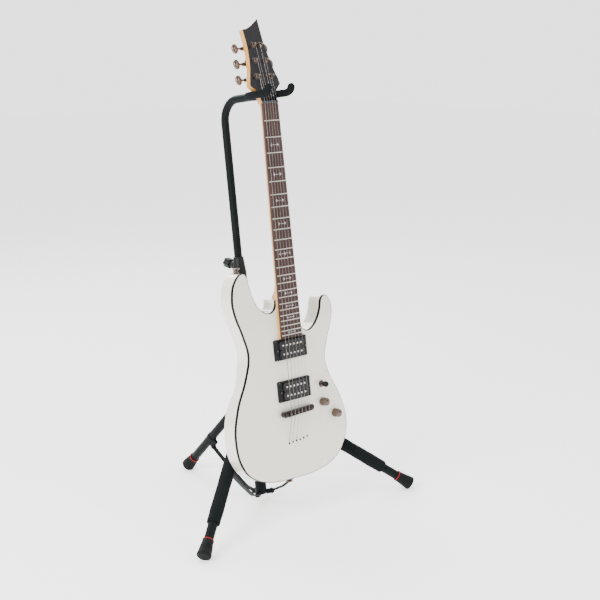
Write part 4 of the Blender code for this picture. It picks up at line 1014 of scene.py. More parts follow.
def make_foam():
    radius = stand_sizes().foam_radius
    offset = PIVOT_RADIUS / math.sin(LEG_ANGLE)
    for name in ("left", "right"):
        start, end = 0.150 - offset, 0.358 - offset
        outside = []
        for step in range(61):
            height = start + (end - start) * step / 60
            swell = 0.00022 * math.sin(height * 71) + 0.00014 * math.sin(height * 173 + 1)
            outside.append((radius - 0.0003 + swell, height))
        rim = 0.0016
        outside[0] = (radius - rim, start)
        outside[-1] = (radius - rim, end)
        profile = [(0.0102, start), *outside, (0.0102, end)]
        sleeve = piece(f"foam_{name}_sleeve", Shape(leg_line(name)).lathe(rounded(profile, 0.0012), steps=64),
                       "foam", f"leg_{name}_group", [f"foam_{name}"])
        slit = Shape(leg_line(name))
        slit.box((0.0040, -0.0048, BRACKET - 0.0190), (0.0200, 0.0048, BRACKET + 0.0080), 0.002, segments=3)
        relief = Shape(leg_line(name)).rod((0, 0, BRACKET - 0.0182), (0, 0, BRACKET - 0.0030), 0.0115, sides=48)
        carve(sleeve, slit, relief)


def make_struts():
    down = Vector((math.sin(LEG_ANGLE), 0, -math.cos(LEG_ANGLE)))
    under = Vector((-math.cos(LEG_ANGLE), 0, -math.sin(LEG_ANGLE)))
    pin = Vector((PIVOT_RADIUS, 0, PIVOT_HEIGHT)) + down * BRACKET + under * BRACKET_REACH
    path = [pin, *[Vector((r, 0, z)) for r, z in STRUT_PATH]]
    smooth = [path[0], *through(path[1:-1], 6), path[-1]]
    section = rounded_rectangle(0.0050, 0.0015, 0.0005, steps=2)
    for name in LEGS:
        strut = Shape(station(name))
        strut.sweep(smooth, [(-point.y, point.x) for point in section], up=(0, 1, 0))
        for end, size in ((path[0], 0.0060), (path[-1], 0.0055)):
            strut.rod(end + Vector((0, -0.0015, 0)), end + Vector((0, 0.0015, 0)), size, 0.0004, 28)
        piece(f"strut_{name}_link", strut, "coat", f"strut_{name}_bar", [f"strut_{name}"])


def make_hub():
    hub = Shape(COLUMN)
    profile = [(0, 0.0035), (0.0113, 0.0035), (0.0113, 0.030), (0.01275, 0.030), (0.01275, 0.002),
               (0.01075, 0), (0, 0)]
    hub.lathe(rounded(profile, 0.0010))
    reach, height = HUB_PIN
    for name in LEGS:
        place = COLUMN.inverted() @ station(name)
        for side in (-1, 1):
            low, high = sorted((side * 0.0019, side * 0.0039))
            hub.rod((reach, low, height), (reach, high, height), 0.0060, 0.0004, 24, place)
            hub.box((0.0110, low + 0.0001, -0.0013), (0.0245, high - 0.0001, 0.0088), 0.0003, place)
            head = facing((reach, side * 0.0039, height), (0, side, 0))
            hub.lathe([(0, 0.0012), (0.0014, 0.0011), (0.0026, 0.0006), (0.0029, 0), (0, 0)], place @ head, 20)
    piece("foot_hub", hub, "coat", "stand_column", ["base_hub"])


def prong_points(side):
    """One prong's centreline, from behind the neck to its raised tip."""
    width, height, back = 0.0340, 0.8738, 0.1165
    points = (
        (0.0000, -back, height), (0.0190, -back, height), (0.0300, -back - 0.0045, height),
        (width, -back - 0.0160, height), (width, -0.1500, height), (width - 0.0012, -0.1715, height),
        (width - 0.0024, -0.1850, height + 0.0045), (width - 0.0030, -0.1922, height + 0.0172),
    )
    return through([(side * x, y, z) for x, y, z in points], 8)


def make_fork():
    radius = stand_sizes().pad_radius
    left, right = prong_points(-1), prong_points(1)
    rod = Shape(COLUMN).sweep([*left[:-6][::-1], *right[1:-6]], circle_section(0.004, 20), up=(0, 0.3, 1))
    collar = facing((0, -0.1000, 0.8736), (0, -1, 0))
    rod.lathe(rounded([(0, 0.0205), (0.0080, 0.0205), (0.0092, 0.0150), (0.0094, 0.0030), (0.0088, 0.0002),
                       (0, 0.0002)], 0.0012), collar, 36)
    piece("fork_bar", rod, "coat", "upper_arm", ["fork"])
    for name, path in (("left", left), ("right", right)):
        start = next(index for index, point in enumerate(path) if abs(point.x) > 0.0105)
        span = path[start:]
        widths = []
        for index, point in enumerate(span):
            from_end = min(index, len(span) - 1 - index)
            near = (span[-1] - point).length if index > len(span) / 2 else (point - span[0]).length
            reach = radius if index > len(span) / 2 else 0.0022
            edge = min(1.0, near / reach) if from_end < 9 else 1.0
            widths.append(max(0.30 if reach == radius else 0.84, math.sqrt(1 - (1 - edge) ** 2)))
            widths[-1] *= 1 + 0.012 * math.sin(index * 0.9)
        sleeve = Shape(COLUMN).sweep(span, circle_section(radius, 28), up=(0, 0.3, 1), widths=widths)
        made = piece(f"fork_{name}_sleeve", sleeve, "foam", "upper_arm", [f"fork_pad_{name}"], sharp=60)


# Guitar


def board_half_width(down):
    """Half the fingerboard's width at a distance down from the nut."""
    sizes = guitar_sizes()
    return sizes.nut_half_width + (sizes.end_half_width - sizes.nut_half_width) * down / sizes.board_end


def fret_distance(number):
    """How far a fret is from the nut: twelve equal steps to half the string."""
    return guitar_sizes().scale_length * (1 - 2 ** (-number / 12))


def cavity(grow):
    """The cavity's smooth outline, let out by an amount."""
    grown = []
    for point in CAVITY_OUTLINE:
        away = Vector(point) - CAVITY_MIDDLE
        grown.append(tuple(CAVITY_MIDDLE + away * (1 + grow / away.length)))
    return outline_points(grown, 10)


def jack_line():
    """The jack's frame, with Z out of the body's side."""
    angle = math.radians(-40)
    place = (0.1335, BODY_FACE + guitar_sizes().body_thickness / 2, -0.7440)
    return facing(place, (math.cos(angle), 0, math.sin(angle)))


def make_body():
    sizes = guitar_sizes()
    back = BODY_FACE + sizes.body_thickness
    outline = outline_points(BODY_OUTLINE, 9, -1)
    shape = Shape(GUITAR).plate(inset_outline(outline, 0.00018), BODY_FACE + 0.0012, back, back_bevel=0.0055,
                                segments=5)
    body = piece("body", shape, "lacquer", "guitar", ["guitar_body"], smooth_faces=True)
    contour = Shape(GUITAR).ball((-0.168, back + 0.050, -0.560), (0.085, 0.068, 0.105), rings=48, sides=64)
    recess = Shape(GUITAR).plate(cavity(0.0052), back - 0.0024, back + 0.010)
    seat = Shape(GUITAR @ jack_line()).rod((0, 0, 0.0004), (0, 0, 0.010), 0.0116, sides=48)
    hole = Shape(GUITAR @ jack_line()).rod((0, 0, -0.022), (0, 0, 0.010), 0.0098, sides=40)
    carve(body, contour, recess, seat, hole)

    within = inset_outline(outline, 0.0015)
    front = Shape(GUITAR).plate(within, BODY_FACE, BODY_FACE + 0.0050, front_bevel=0.0002)
    piece("body_front", front, "lacquer", "guitar", smooth_faces=True)
    band = Shape(GUITAR).plate(outline, BODY_FACE + 0.0001, BODY_FACE + sizes.binding_depth, front_bevel=0.0005,
                               back_bevel=0.0002)
    piece("body_edge_strip", band, "binding", "guitar", ["body_binding"], smooth_faces=True)


def neck_section(down, depth, squareness, lift=0.0):
    """The neck's underside at one place: a half oval that turns squarer at the heel."""
    half = board_half_width(max(down, 0.0)) - 0.0002
    points = []
    for step in range(33):
        angle = math.pi * step / 32
        x, y = math.cos(angle), math.sin(angle)
        power = 2 / squareness
        points.append(Vector((
            math.copysign(abs(x) ** power, x) * half, BOARD_BOTTOM + abs(y) ** power * depth + lift, -down,
        )))
    return points


def make_neck():
    sizes = guitar_sizes()
    heel = BODY_FACE + 0.016 - BOARD_BOTTOM
    stations = [(-0.0045, 0.0130, 2.0), (0.0, 0.0140, 2.0), (0.012, 0.0150, 2.0), (0.026, 0.0137, 2.0),
                (0.05, 0.0135, 2.0), (0.15, 0.0140, 2.05), (0.28, 0.0147, 2.1), (0.360, 0.0153, 2.2),
                (0.380, 0.0158, 2.5), (0.390, 0.0175, 3.2), (0.398, 0.0205, 5.0), (0.404, heel, 9.0),
                (0.440, heel, 14.0), (0.4930, heel, 16.0)]
    shape = Shape(GUITAR)
    rows = [neck_section(*row) for row in stations]
    first = [shape.bm.verts.new(point) for point in rows[0]]
    rim = list(shape.bm.faces.new(first).edges)
    ring = first
    for row in rows[1:]:
        links = {vert: number for number, vert in enumerate(ring)}
        made = bmesh.ops.extrude_edge_only(shape.bm, edges=rim)["geom"]
        verts = [item for item in made if isinstance(item, bmesh.types.BMVert)]
        rim = [item for item in made if isinstance(item, bmesh.types.BMEdge)
               and all(vert in verts for vert in item.verts)]
        ring = [None] * len(row)
        for vert in verts:
            old = next(edge.other_vert(vert) for edge in vert.link_edges if edge.other_vert(vert) in links)
            vert.co = row[links[old]]
            ring[links[old]] = vert
    bmesh.ops.contextual_create(shape.bm, geom=rim)
    bmesh.ops.recalc_face_normals(shape.bm, faces=shape.bm.faces)

    turn = GUITAR.inverted() @ HEAD
    outline = outline_points(HEAD_OUTLINE, 10)
    shape.plate(outline, 0.0009, sizes.head_thickness, turn, back_bevel=0.0014, segments=3)
    shape.ball((0, BOARD_BOTTOM + 0.0088, 0.004), (0.0185, 0.0085, 0.024), rings=24, sides=32)
    piece("neck_and_head", shape, "maple", "guitar", ["neck"], sharp=40, smooth_faces=True)

    veneer = Shape(HEAD).plate(outline, 0.0, 0.0010, front_bevel=0.0004, segments=2)
    piece("head_face", veneer, "head", "guitar", smooth_faces=True)
    cover = outline_points(((-0.0095, 0.0080, "corner"), (0.0095, 0.0080, "corner"), (0.0090, 0.0180),
                            (0.0050, 0.0300), (0.0000, 0.0340), (-0.0050, 0.0300), (-0.0090, 0.0180)), 8)
    plate = Shape(HEAD).plate(cover, -0.0016, -0.0001, front_bevel=0.0005, segments=3)
    piece("rod_cover", plate, "plastic", "guitar", ["truss_rod_cover"], smooth_faces=True)
    screws = Shape(HEAD)
    for across, up in ((-0.0066, 0.0108), (0.0066, 0.0108), (0.0, 0.0300)):
        screws.screw(facing((across, -0.0015, up), (0, -1, 0)), 0.0014, 0.0006)
    piece("rod_cover_screws", screws, "hardware", "guitar")


def crown_drop(across):
    """How far the board's surface falls away from its middle."""
    return BOARD_CROWN - math.sqrt(BOARD_CROWN ** 2 - across ** 2)


def make_fingerboard():
    sizes = guitar_sizes()
    shape = Shape(GUITAR)
    rows = []
    for down in (0.0010, sizes.board_end):
        half = board_half_width(down)
        top = [(half - 2 * half * k / 16) for k in range(17)]
        rows.append([Vector((x, 0.0009 + crown_drop(x), -down)) for x in top]
                    + [Vector((x, BOARD_BOTTOM - 0.0002, -down)) for x in (-half, half)])
    faces = [shape.bm.faces.new([shape.bm.verts.new(point) for point in row]) for row in rows]
    bmesh.ops.bridge_loops(shape.bm, edges=[edge for face in faces for edge in face.edges])
    bmesh.ops.recalc_face_normals(shape.bm, faces=shape.bm.faces)
    rim = [edge for edge in shape.bm.edges if edge.calc_length() > 0.4
           and all(abs(abs(vert.co.x) - board_half_width(-vert.co.z)) < 0.0001 for vert in edge.verts)]
    shape.soften(rim, 0.0004, 2)
    piece("board", shape, "rosewood", "guitar", ["fingerboard"], sharp=30)

    frets = Shape(GUITAR)
    high = sizes.fret_height
    section = [(0.0003, 0.00105), (-high * 0.5, 0.00095), (-high * 0.9, 0.0005), (-high, 0.0),
               (-high * 0.9, -0.0005), (-high * 0.5, -0.00095), (0.0003, -0.00105)]
    for number in range(1, sizes.fret_count + 1):
        down = fret_distance(number)
        half = board_half_width(down) - 0.0004
        path = []
        widths = []
        for step in range(13):
            x = -half + 2 * half * step / 12
            path.append((x, 0.0010 + crown_drop(x), -down))
            widths.append(0.62 if step in (0, 12) else 1.0)
        path.insert(1, Vector(path[0]).lerp(Vector(path[1]), 0.16))
        widths.insert(1, 1.0)
        path.insert(-1, Vector(path[-1]).lerp(Vector(path[-2]), 0.16))
        widths.insert(-1, 1.0)
        frets.sweep(path, section, up=(0, 0, 1), widths=widths)
    piece("fret_wires", frets, "frets", "guitar", sharp=50)

    inlays = Shape(GUITAR)
    for number in INLAID_FRETS:
        middle = (fret_distance(number) + fret_distance(number - 1)) / 2
        gap = fret_distance(number) - fret_distance(number - 1)
        spread = 0.0125 if number == 12 else 0.0082
        reach = min(0.0040, gap * 0.28)
        for x in (-spread, 0.0, spread) if number == 12 else (-spread, spread):
            tall = 1.25 if x == 0.0 else 1.0
            points = []
            for corner in range(16):
                angle = math.tau * corner / 16
                out = reach * (1.0, 0.42, 0.30, 0.42)[corner % 4]
                points.append((x + 1.1 * out * math.cos(angle), -middle + tall * out * math.sin(angle)))
            drop = crown_drop(abs(x) + reach * 0.6)
            inlays.plate(points, 0.00080 + drop, 0.0022 + drop)
        bar = spread - reach * 0.9
        inlays.box((-bar, 0.00084, -middle - 0.00035), (bar, 0.0022, -middle + 0.00035))
    piece("inlays", inlays, "pearl", "guitar")

    nut = Shape(GUITAR).box((-0.0212, 0.0002, -0.0007), (0.0212, 0.0067, 0.0043), 0.0007, segments=3)
    piece("string_nut", nut, "nut", "guitar", ["nut"], smooth_faces=True)


def string_across(number, half_spread):
    """How far a string is from the middle where the strings spread over twice half_spread."""
    return -half_spread + 2 * half_spread * number / 5


def post_frame(number):
    """The frame of a string's post on the head's face, and the side that it stands on."""
    step = number if number < 3 else 5 - number
    across, up = POST_PLACES[step]
    side = -1 if number < 3 else 1
    return side, Vector((side * across, 0, up))


def ferrule_down(number):
    """Where a string enters the face, measured down from the nut."""
    return 0.7165 + (0.001 * (2 - number) if number < 3 else 0.0015 * (4 - number) - 0.0015)


def string_route(number, radius):
    """A string from its ferrule over the saddle and nut to its post, in the guitar's frame."""
    across = string_across(number, SADDLE_SPREAD)
    crest = -BRIDGE_DOWN + across * math.tan(BRIDGE_SLANT)
    inside = Vector((across * 0.99, BODY_FACE + 0.0008, -ferrule_down(number)))
    height = -0.0030 - radius
    over_saddle = [
        Vector((across, height + rise, crest + along))
        for rise, along in ((0.0010, -0.0052), (0.00025, -0.0030), (0, -0.0008), (0, 0.0010))
    ]
    across = string_across(number, NUT_SPREAD)
    at_nut = [
        Vector((across, rise - radius, along))
        for rise, along in ((-0.0004, -0.0004), (-0.0004, 0.0026), (-0.00025, 0.0046))
    ]
    side, place = post_frame(number)
    turn = GUITAR.inverted() @ HEAD
    touch = turn @ (place + Vector((-side * (POST_RADIUS + radius), -0.0055, -0.0006)))
    return [inside, *over_saddle, *at_nut, touch]


def make_strings():
    for number, diameter in enumerate(STRING_DIAMETERS):
        radius = diameter / 2
        route = string_route(number, radius)
        finish = "wound wire" if number < 3 else "plain wire"
        name = 6 - number
        wire = Shape(GUITAR).sweep(route, circle_section(radius, 8), up=(1, 0, 0))
        piece(f"string_{name}_wire", wire, finish, "guitar", [f"string_{name}"], sharp=60)

        side, place = post_frame(number)
        post = (number if number < 3 else 5 - number) + (1 if number < 3 else 4)
        coil = []
        turns = 2.6 if number < 3 else 4.2
        for step in range(int(turns * 16)):
            angle = math.pi * (0 if side < 0 else 1) + side * math.tau * step / 16
            depth = -0.0055 + diameter * step / 16 * 0.98
            reach = POST_RADIUS + radius
            coil.append(place + Vector((math.cos(angle) * reach, depth, math.sin(angle) * reach)))
        winding = Shape(HEAD).sweep(coil, circle_section(radius, 8), up=(0, 1, 0))
        piece(f"string_{name}_winding", winding, finish, f"tuner_post_{post}_group", sharp=60)


def make_tuners():
    number = 1
    for side in (-1, 1):
        for across, up in POST_PLACES:
            place = Matrix.Translation((side * across, 0, up))
            out = place @ Matrix.Rotation(math.pi / 2, 4, "X")
            post = Shape(HEAD @ out)
            profile = [
                (0, 0.0098), (0.0012, 0.0096), (0.0016, 0.0090), (0.0030, 0.0094), (POST_RADIUS, 0.0088),
                (POST_RADIUS, 0.0072), (0.0026, 0.0060), (0.0026, 0.0042), (POST_RADIUS, 0.0030),
                (POST_RADIUS, -0.0155), (0, -0.0155),
            ]
            post.lathe(rounded(profile, 0.0003), steps=32)
            post.rod((-0.0029, 0, 0.0050), (0.0029, 0, 0.0050), 0.0007, sides=12)
            piece(f"post_{number}", post, "hardware", f"tuner_post_{number}_group",
                  [f"tuner_post_{number}"])

            fixed = Shape(HEAD @ out)
            fixed.tube(0.0065, 0.0035, 0.0007, 0.0, 0.0002, steps=36)
            nut = [(0.0049, 0.0030), (0.0052, 0.0007), (0.0035, 0.0007), (0.0035, 0.0030)]
            fixed.lathe(rounded(nut, 0.0004), steps=6)
            back = -0.0140
            fixed.box((-0.0078, -0.0090, back - 0.0098), (0.0078, 0.0090, back), 0.0026, segments=4)
            fixed.lathe(rounded([(0, back - 0.0108), (0.0052, back - 0.0106), (0.0056, back - 0.0092),
                                 (0, back - 0.0085)], 0.0006), steps=32)
            low, high = sorted((side * 0.0065, side * 0.0140))
            fixed.rod((low, 0, -0.0225), (high, 0, -0.0225), 0.0040, 0.0006, 28)
            fixed.box((-0.0030, -0.0135, back - 0.0016), (0.0030, -0.0070, back), 0.0007)
            under = Matrix.Translation((0, -0.0112, back - 0.0016)) @ Matrix.Rotation(math.pi, 4, "X")
            fixed.screw(under, 0.0018, 0.0008)
            piece(f"tuner_housing_{number}", fixed, "hardware", "guitar")

            button = Shape(HEAD @ place @ Matrix.Translation((side * 0.0305, 0.0225, 0)))
            start, end = -side * 0.0165, -side * 0.0040
            button.rod((start, 0, 0), (end, 0, 0), 0.0021, 0.0003)
            button.lathe(rounded([(0, 0.0012), (0.0034, 0.0010), (0.0036, -0.0010), (0, -0.0012)], 0.0004),
                         facing((-side * 0.0056, 0, 0), (1, 0, 0)), 24)
            known = set(button.bm.verts)
            button.ball((0, 0, 0), (0.0078, 0.0056, 0.0105), rings=24, sides=32)
            for vert in button.added(known):
                fold = 1 - 0.20 * math.exp(-((vert.co.z / 0.0042) ** 2))
                if vert.co.x * side < 0:
                    vert.co.x *= fold
                vert.co.y *= 1 - 0.18 * math.exp(-((vert.co.z / 0.0046) ** 2 + (vert.co.x / 0.0050) ** 2))
            piece(f"button_{number}", button, "hardware", f"tuner_button_{number}_group",
                  [f"tuner_button_{number}"], sharp=60)
            number += 1


def make_pickups():
    for name, down in PICKUP_PLACES.items():
        frame_shape = Shape(GUITAR)
        top = BODY_FACE - 0.006
        outer = rounded_rectangle(0.0455, 0.0225, 0.003, (0, -down), 6)
        inner = rounded_rectangle(0.0355, 0.0193, 0.002, (0, -down), 6)
        loops = []
        foot, shoulder = BODY_FACE + 0.0002, top + 0.0012
        middle = Vector((0, -down))
        for points, depth in ((outer, foot), (outer, shoulder), (inner, top), (inner, foot)):
            width = 0.97 if depth == shoulder else 1.0
            row = [middle + (point - middle) * width for point in points]
            loop = [frame_shape.bm.verts.new((point.x, depth, point.y)) for point in row]
            loops.append([frame_shape.bm.edges.new((a, b)) for a, b in zip(loop, [*loop[1:], loop[0]])])
        for first, second in zip(loops, [*loops[1:], loops[0]]):
            bmesh.ops.bridge_loops(frame_shape.bm, edges=[*first, *second])
        bmesh.ops.recalc_face_normals(frame_shape.bm, faces=frame_shape.bm.faces)
        rim = {edge for loop in loops[1:3] for edge in loop}
        frame_shape.soften(rim, 0.0006, 3)
        piece(f"{name}_ring", frame_shape, "plastic", "guitar", [f"pickup_ring_{name}"],
              smooth_faces=True)

        fixings = Shape(GUITAR)
        for x in (-0.0428, 0.0428):
            for z in (-0.0198, 0.0198):
                fixings.screw(facing((x, top + 0.0009, -down + z), (0, -1, 0)), 0.0015, 0.0008)
        for x in (-0.0392, 0.0392):
            fixings.screw(facing((x, top - 0.0001, -down), (0, -1, 0)), 0.0021, 0.0010)
        piece(f"{name}_ring_screws", fixings, "hardware", "guitar")

        coils = Shape(GUITAR)
        for z in (-0.0093, 0.0093):
            outline = rounded_rectangle(0.0345, 0.0091, 0.0050, (0, -down + z), 8)
            coils.plate(outline, 0.0045, 0.0068, front_bevel=0.0006, segments=3)
            core = rounded_rectangle(0.0335, 0.0082, 0.0045, (0, -down + z), 8)
            coils.plate(core, 0.0068, 0.0128)
        coils.box((-0.0356, 0.0122, -down - 0.0194), (0.0356, 0.0300, -down + 0.0194))
        piece(f"{name}_coils", coils, "bobbin", "guitar", [f"pickup_{name}"],
              smooth_faces=True)

        poles = Shape(GUITAR)
        for number in range(6):
            x = -0.025 + 0.010 * number
            poles.rod((x, 0.0041, -down + 0.0093), (x, 0.0060, -down + 0.0093), 0.0019, 0.0003, 24)
            poles.screw(facing((x, 0.0046, -down - 0.0093), (0, -1, 0)), 0.0020, 0.0009)
        piece(f"{name}_poles", poles, "poles", "guitar")


def bridge_line():
    """The bridge's frame, turned so that the bass strings are longer."""
    return GUITAR @ Matrix.Translation((0, 0, -BRIDGE_DOWN)) @ Matrix.Rotation(-BRIDGE_SLANT, 4, "Y")


def make_bridge():
    bar = Shape(bridge_line())
    outline = rounded_rectangle(0.0445, 0.0065, 0.0062, steps=8)
    bar.plate(outline, 0.0010, 0.0085, front_bevel=0.0012, back_bevel=0.0006, segments=3)
    for z in (-0.0058, 0.0044):
        bar.box((-0.0325, -0.0010, z), (0.0325, 0.0040, z + 0.0014), 0.0005)
    for x in (-0.0340, 0.0326):
        bar.box((x, -0.0010, -0.0052), (x + 0.0014, 0.0040, 0.0052), 0.0005)
    piece("bridge_bar", bar, "bridge", "guitar", ["bridge"], smooth_faces=True)

    saddles = Shape(bridge_line())
    for number in range(6):
        x = string_across(number, SADDLE_SPREAD)
        section = [(-0.0036, 0.0012), (-0.0036, -0.0008), (-0.0010, -0.0026), (0.0010, -0.0026),
                   (0.0036, -0.0008), (0.0036, 0.0012)]
        known = set(saddles.bm.verts)
        face = saddles.bm.faces.new([saddles.bm.verts.new((x - 0.0036, y, z)) for z, y in section])
        made = bmesh.ops.extrude_face_region(saddles.bm, geom=[face], use_keep_orig=True)["geom"]
        moved = [item for item in made if isinstance(item, bmesh.types.BMVert)]
        bmesh.ops.translate(saddles.bm, vec=(0.0072, 0, 0), verts=moved)
        saddles.soften({edge for vert in saddles.added(known) for edge in vert.link_edges}, 0.0003, 2)
        saddles.settle(known, IDENTITY, weld=False)
        saddles.rod((x, -0.0002, -0.0052), (x, -0.0002, 0.0050), 0.0010, 0, 12)
        saddles.rod((x, -0.0002, 0.0048), (x, -0.0002, 0.0070), 0.0019, 0.0003, 16)
    piece("saddles", saddles, "bridge", "guitar")

    for name, side in (("bass", -1), ("treble", 1)):
        post = Shape(bridge_line() @ Matrix.Translation((side * 0.037, 0, 0)))
        down = Matrix.Rotation(math.pi / 2, 4, "X")
        post.lathe(rounded([(0, 0.0016), (0.0036, 0.0014), (0.0038, -0.0020), (0, -0.0020)], 0.0004), down, 28)
        post.box((-0.0034, -0.0019, -0.0005), (0.0034, -0.0013, 0.0005))
        wheel = [(0, -0.0088), (0.0054, -0.0088), (0.0054, -0.0106), (0, -0.0106)]
        post.lathe(rounded(wheel, 0.0003), down, 40)
        flange = [(0, -0.0122), (0.0048, -0.0122), (0.0052, -0.0133), (0, -0.0140)]
        post.lathe(rounded(flange, 0.0003), down, 36)
        post.rod((0, 0.0100, 0), (0, 0.0290, 0), 0.0034, 0, 20)
        piece(f"bridge_stud_{name}", post, "bridge", "guitar", [f"bridge_post_{name}"])

    eyes = Shape(GUITAR)
    back = BODY_FACE + guitar_sizes().body_thickness
    for number in range(6):
        x = string_across(number, SADDLE_SPREAD) * 0.99
        eyes.lathe(rounded([(0.0024, 0.0005), (0.0024, -0.0030), (0, -0.0030), (0, 0.0001), (0.0012, 0.0001),
                            (0.0013, 0.0005)], 0.0002),
                   facing((x, BODY_FACE, -ferrule_down(number)), (0, -1, 0)), 24)
        eyes.lathe(rounded([(0.0040, 0.0007), (0.0040, -0.0030), (0.0016, -0.0030), (0.0018, 0.0007)], 0.0004),
                   facing((x, back, -0.7165), (0, 1, 0)), 28)
    piece("string_ferrules", eyes, "bridge", "guitar")


def make_controls():
    for name, (across, down) in (("volume", VOLUME_PLACE), ("tone", TONE_PLACE)):
        place = facing((across, BODY_FACE, -down), (0, -1, 0))
        knob = Shape(GUITAR @ place)
        sides = 72
        profile = rounded([(0, 0.0170), (0.0068, 0.0168), (0.0085, 0.0154), (0.0090, 0.0125), (0.0091, 0.0060),
                           (0.0094, 0.0012), (0.0086, 0.0005), (0, 0.0005)], 0.0006)
        knob.lathe(profile, steps=sides)
        for vert in knob.bm.verts:
            reach = math.hypot(vert.co.x, vert.co.y)
            if reach > 0.0084 and 0.0018 < vert.co.z < 0.0142:
                tooth = round(math.atan2(vert.co.y, vert.co.x) / (math.tau / sides)) % 2
                width = (reach - 0.00030 * tooth) / reach
                vert.co.x *= width
                vert.co.y *= width
        knob.rod((0, 0, -0.0095), (0, 0, 0.0010), 0.0030)
        piece(f"{name}_dial", knob, "hardware", f"{name}_control", [f"{name}_knob"], sharp=28)
        mark = Shape(GUITAR @ place)
        mark.lathe(rounded([(0, 0.0176), (0.0013, 0.0174), (0.0014, 0.0160), (0, 0.0160)], 0.0003),
                   Matrix.Translation((0.0, 0.0030, 0.0)), 20)
        piece(f"{name}_dial_mark", mark, "plastic", f"{name}_control")
        washer = Shape(GUITAR @ place)
        washer.tube(0.0078, 0.0034, 0.0004, 0.0, 0.0001, steps=36)
        piece(f"{name}_washer", washer, "hardware", "guitar")

    across, down = SWITCH_PLACE
    place = facing((across, BODY_FACE, -down), (0, -1, 0))
    bush = Shape(GUITAR @ place)
    bush.tube(0.0078, 0.0034, 0.0006, 0.0, 0.0002)
    nut = [(0.0058, 0.0030), (0.0064, 0.0006), (0.0034, 0.0006), (0.0034, 0.0030)]
    bush.lathe(rounded(nut, 0.0004), steps=12)
    piece("switch_nut", bush, "hardware", "guitar", ["switch_bush"])
    lever = Shape(GUITAR @ place)
    lever.lathe(rounded([(0, 0.0205), (0.0040, 0.0199), (0.0060, 0.0175), (0.0066, 0.0140), (0.0056, 0.0095),
                         (0.0040, 0.0060), (0, 0.0057)], 0.0010), steps=40)
    lever.rod((0, 0, -0.0028), (0, 0, 0.0060), 0.0014, 0, 16)
    piece("switch_tip", lever, "plastic", "pickup_switch", ["switch_lever"])


def make_fittings():
    back = BODY_FACE + guitar_sizes().body_thickness
    plate = Shape(GUITAR).plate(cavity(0.0046), back - 0.0022, back - 0.0002, back_bevel=0.0004, segments=2)
    piece("cavity_plate", plate, "plastic", "guitar", ["control_cover"], smooth_faces=True)
    screws = Shape(GUITAR)
    for point in CAVITY_OUTLINE:
        spot = CAVITY_MIDDLE + (Vector(point) - CAVITY_MIDDLE) * 0.99
        screws.screw(facing((spot.x, back - 0.0003, spot.y), (0, 1, 0)), 0.0020, 0.0009)
    for x in (-0.0160, 0.0160):
        for down in (0.4180, 0.4620):
            bolt = facing((x, back, -down), (0, 1, 0))
            cup = [(0, 0.0008), (0.0052, 0.0008), (0.0066, 0.0), (0.0066, -0.003), (0, -0.003)]
            screws.lathe(rounded(cup, 0.0004), bolt, 32)
            screws.screw(bolt @ Matrix.Translation((0, 0, 0.0007)), 0.0036, 0.0012)
    piece("back_screws", screws, "hardware", "guitar")

    middle = BODY_FACE + guitar_sizes().body_thickness / 2
    for name, node, place, way in (("horn", "strap_button_horn", (-0.1075, middle, -0.3431), (0, 0, 1)),
                                   ("tail", "strap_button_tail", (-0.0180, middle, -0.7966), (0, 0, -1))):
        line = facing(place, way)
        button = Shape(GUITAR @ line)
        button.lathe(rounded([
            (0, 0.0104), (0.0062, 0.0106), (0.0079, 0.0098), (0.0074, 0.0083), (0.0036, 0.0065),
            (0.0034, 0.0030), (0.0056, 0.0012), (0.0056, 0.0), (0, 0),
        ], 0.0006), steps=40)
        button.screw(Matrix.Translation((0, 0, 0.0100)), 0.0026, 0.0010)
        piece(f"strap_peg_{name}", button, "hardware", "guitar", [node])
        felt = Shape(GUITAR @ line)
        felt.lathe(rounded([(0, 0.0010), (0.0068, 0.0009), (0.0069, -0.0006), (0, -0.0006)], 0.0004), steps=32)
        piece(f"strap_felt_{name}", felt, "foam", "guitar")

    jack = Shape(GUITAR @ jack_line())
    jack.lathe(rounded([
        (0.0100, 0.0022), (0.0112, 0.0014), (0.0112, 0.0008), (0.0095, 0.0008), (0.0095, -0.0180),
        (0.0034, -0.0180), (0.0034, -0.0060), (0.0052, -0.0052), (0.0086, 0.0010),
    ], 0.0005), steps=48)
    nut = [(0.0050, -0.0022), (0.0056, -0.0052), (0.0034, -0.0052), (0.0034, -0.0022)]
    jack.lathe(rounded(nut, 0.0004), steps=6)
    piece("jack_socket", jack, "hardware", "guitar", ["output_jack"])


# Stage


def studio_world(settings):
    """White paper behind the guitar, and a darker room in front of it."""
    world = bpy.data.worlds.new("studio")
    world.use_nodes = True
    tree = world.node_tree
    way = tree.nodes.new("ShaderNodeTexCoord")
    toward = tree.nodes.new("ShaderNodeVectorMath")
    toward.operation = "DOT_PRODUCT"
    heading = settings.heading
    toward.inputs[1].default_value = (0.78 * math.sin(heading), 0.78 * math.cos(heading), 0.62)
    spread = tree.nodes.new("ShaderNodeMapRange")
    spread.interpolation_type = "SMOOTHSTEP"
    limits = {"From Min": 0.0, "From Max": 0.65, "To Min": settings.room, "To Max": settings.sky}
    for name, value in limits.items():
        spread.inputs[name].default_value = value
    tree.links.new(way.outputs["Generated"], toward.inputs[0])
    tree.links.new(toward.outputs["Value"], spread.inputs["Value"])
    tree.links.new(spread.outputs["Result"], tree.nodes["Background"].inputs["Strength"])
    tree.nodes["Background"].inputs["Color"].default_value = (1, 1, 1, 1)
    return world


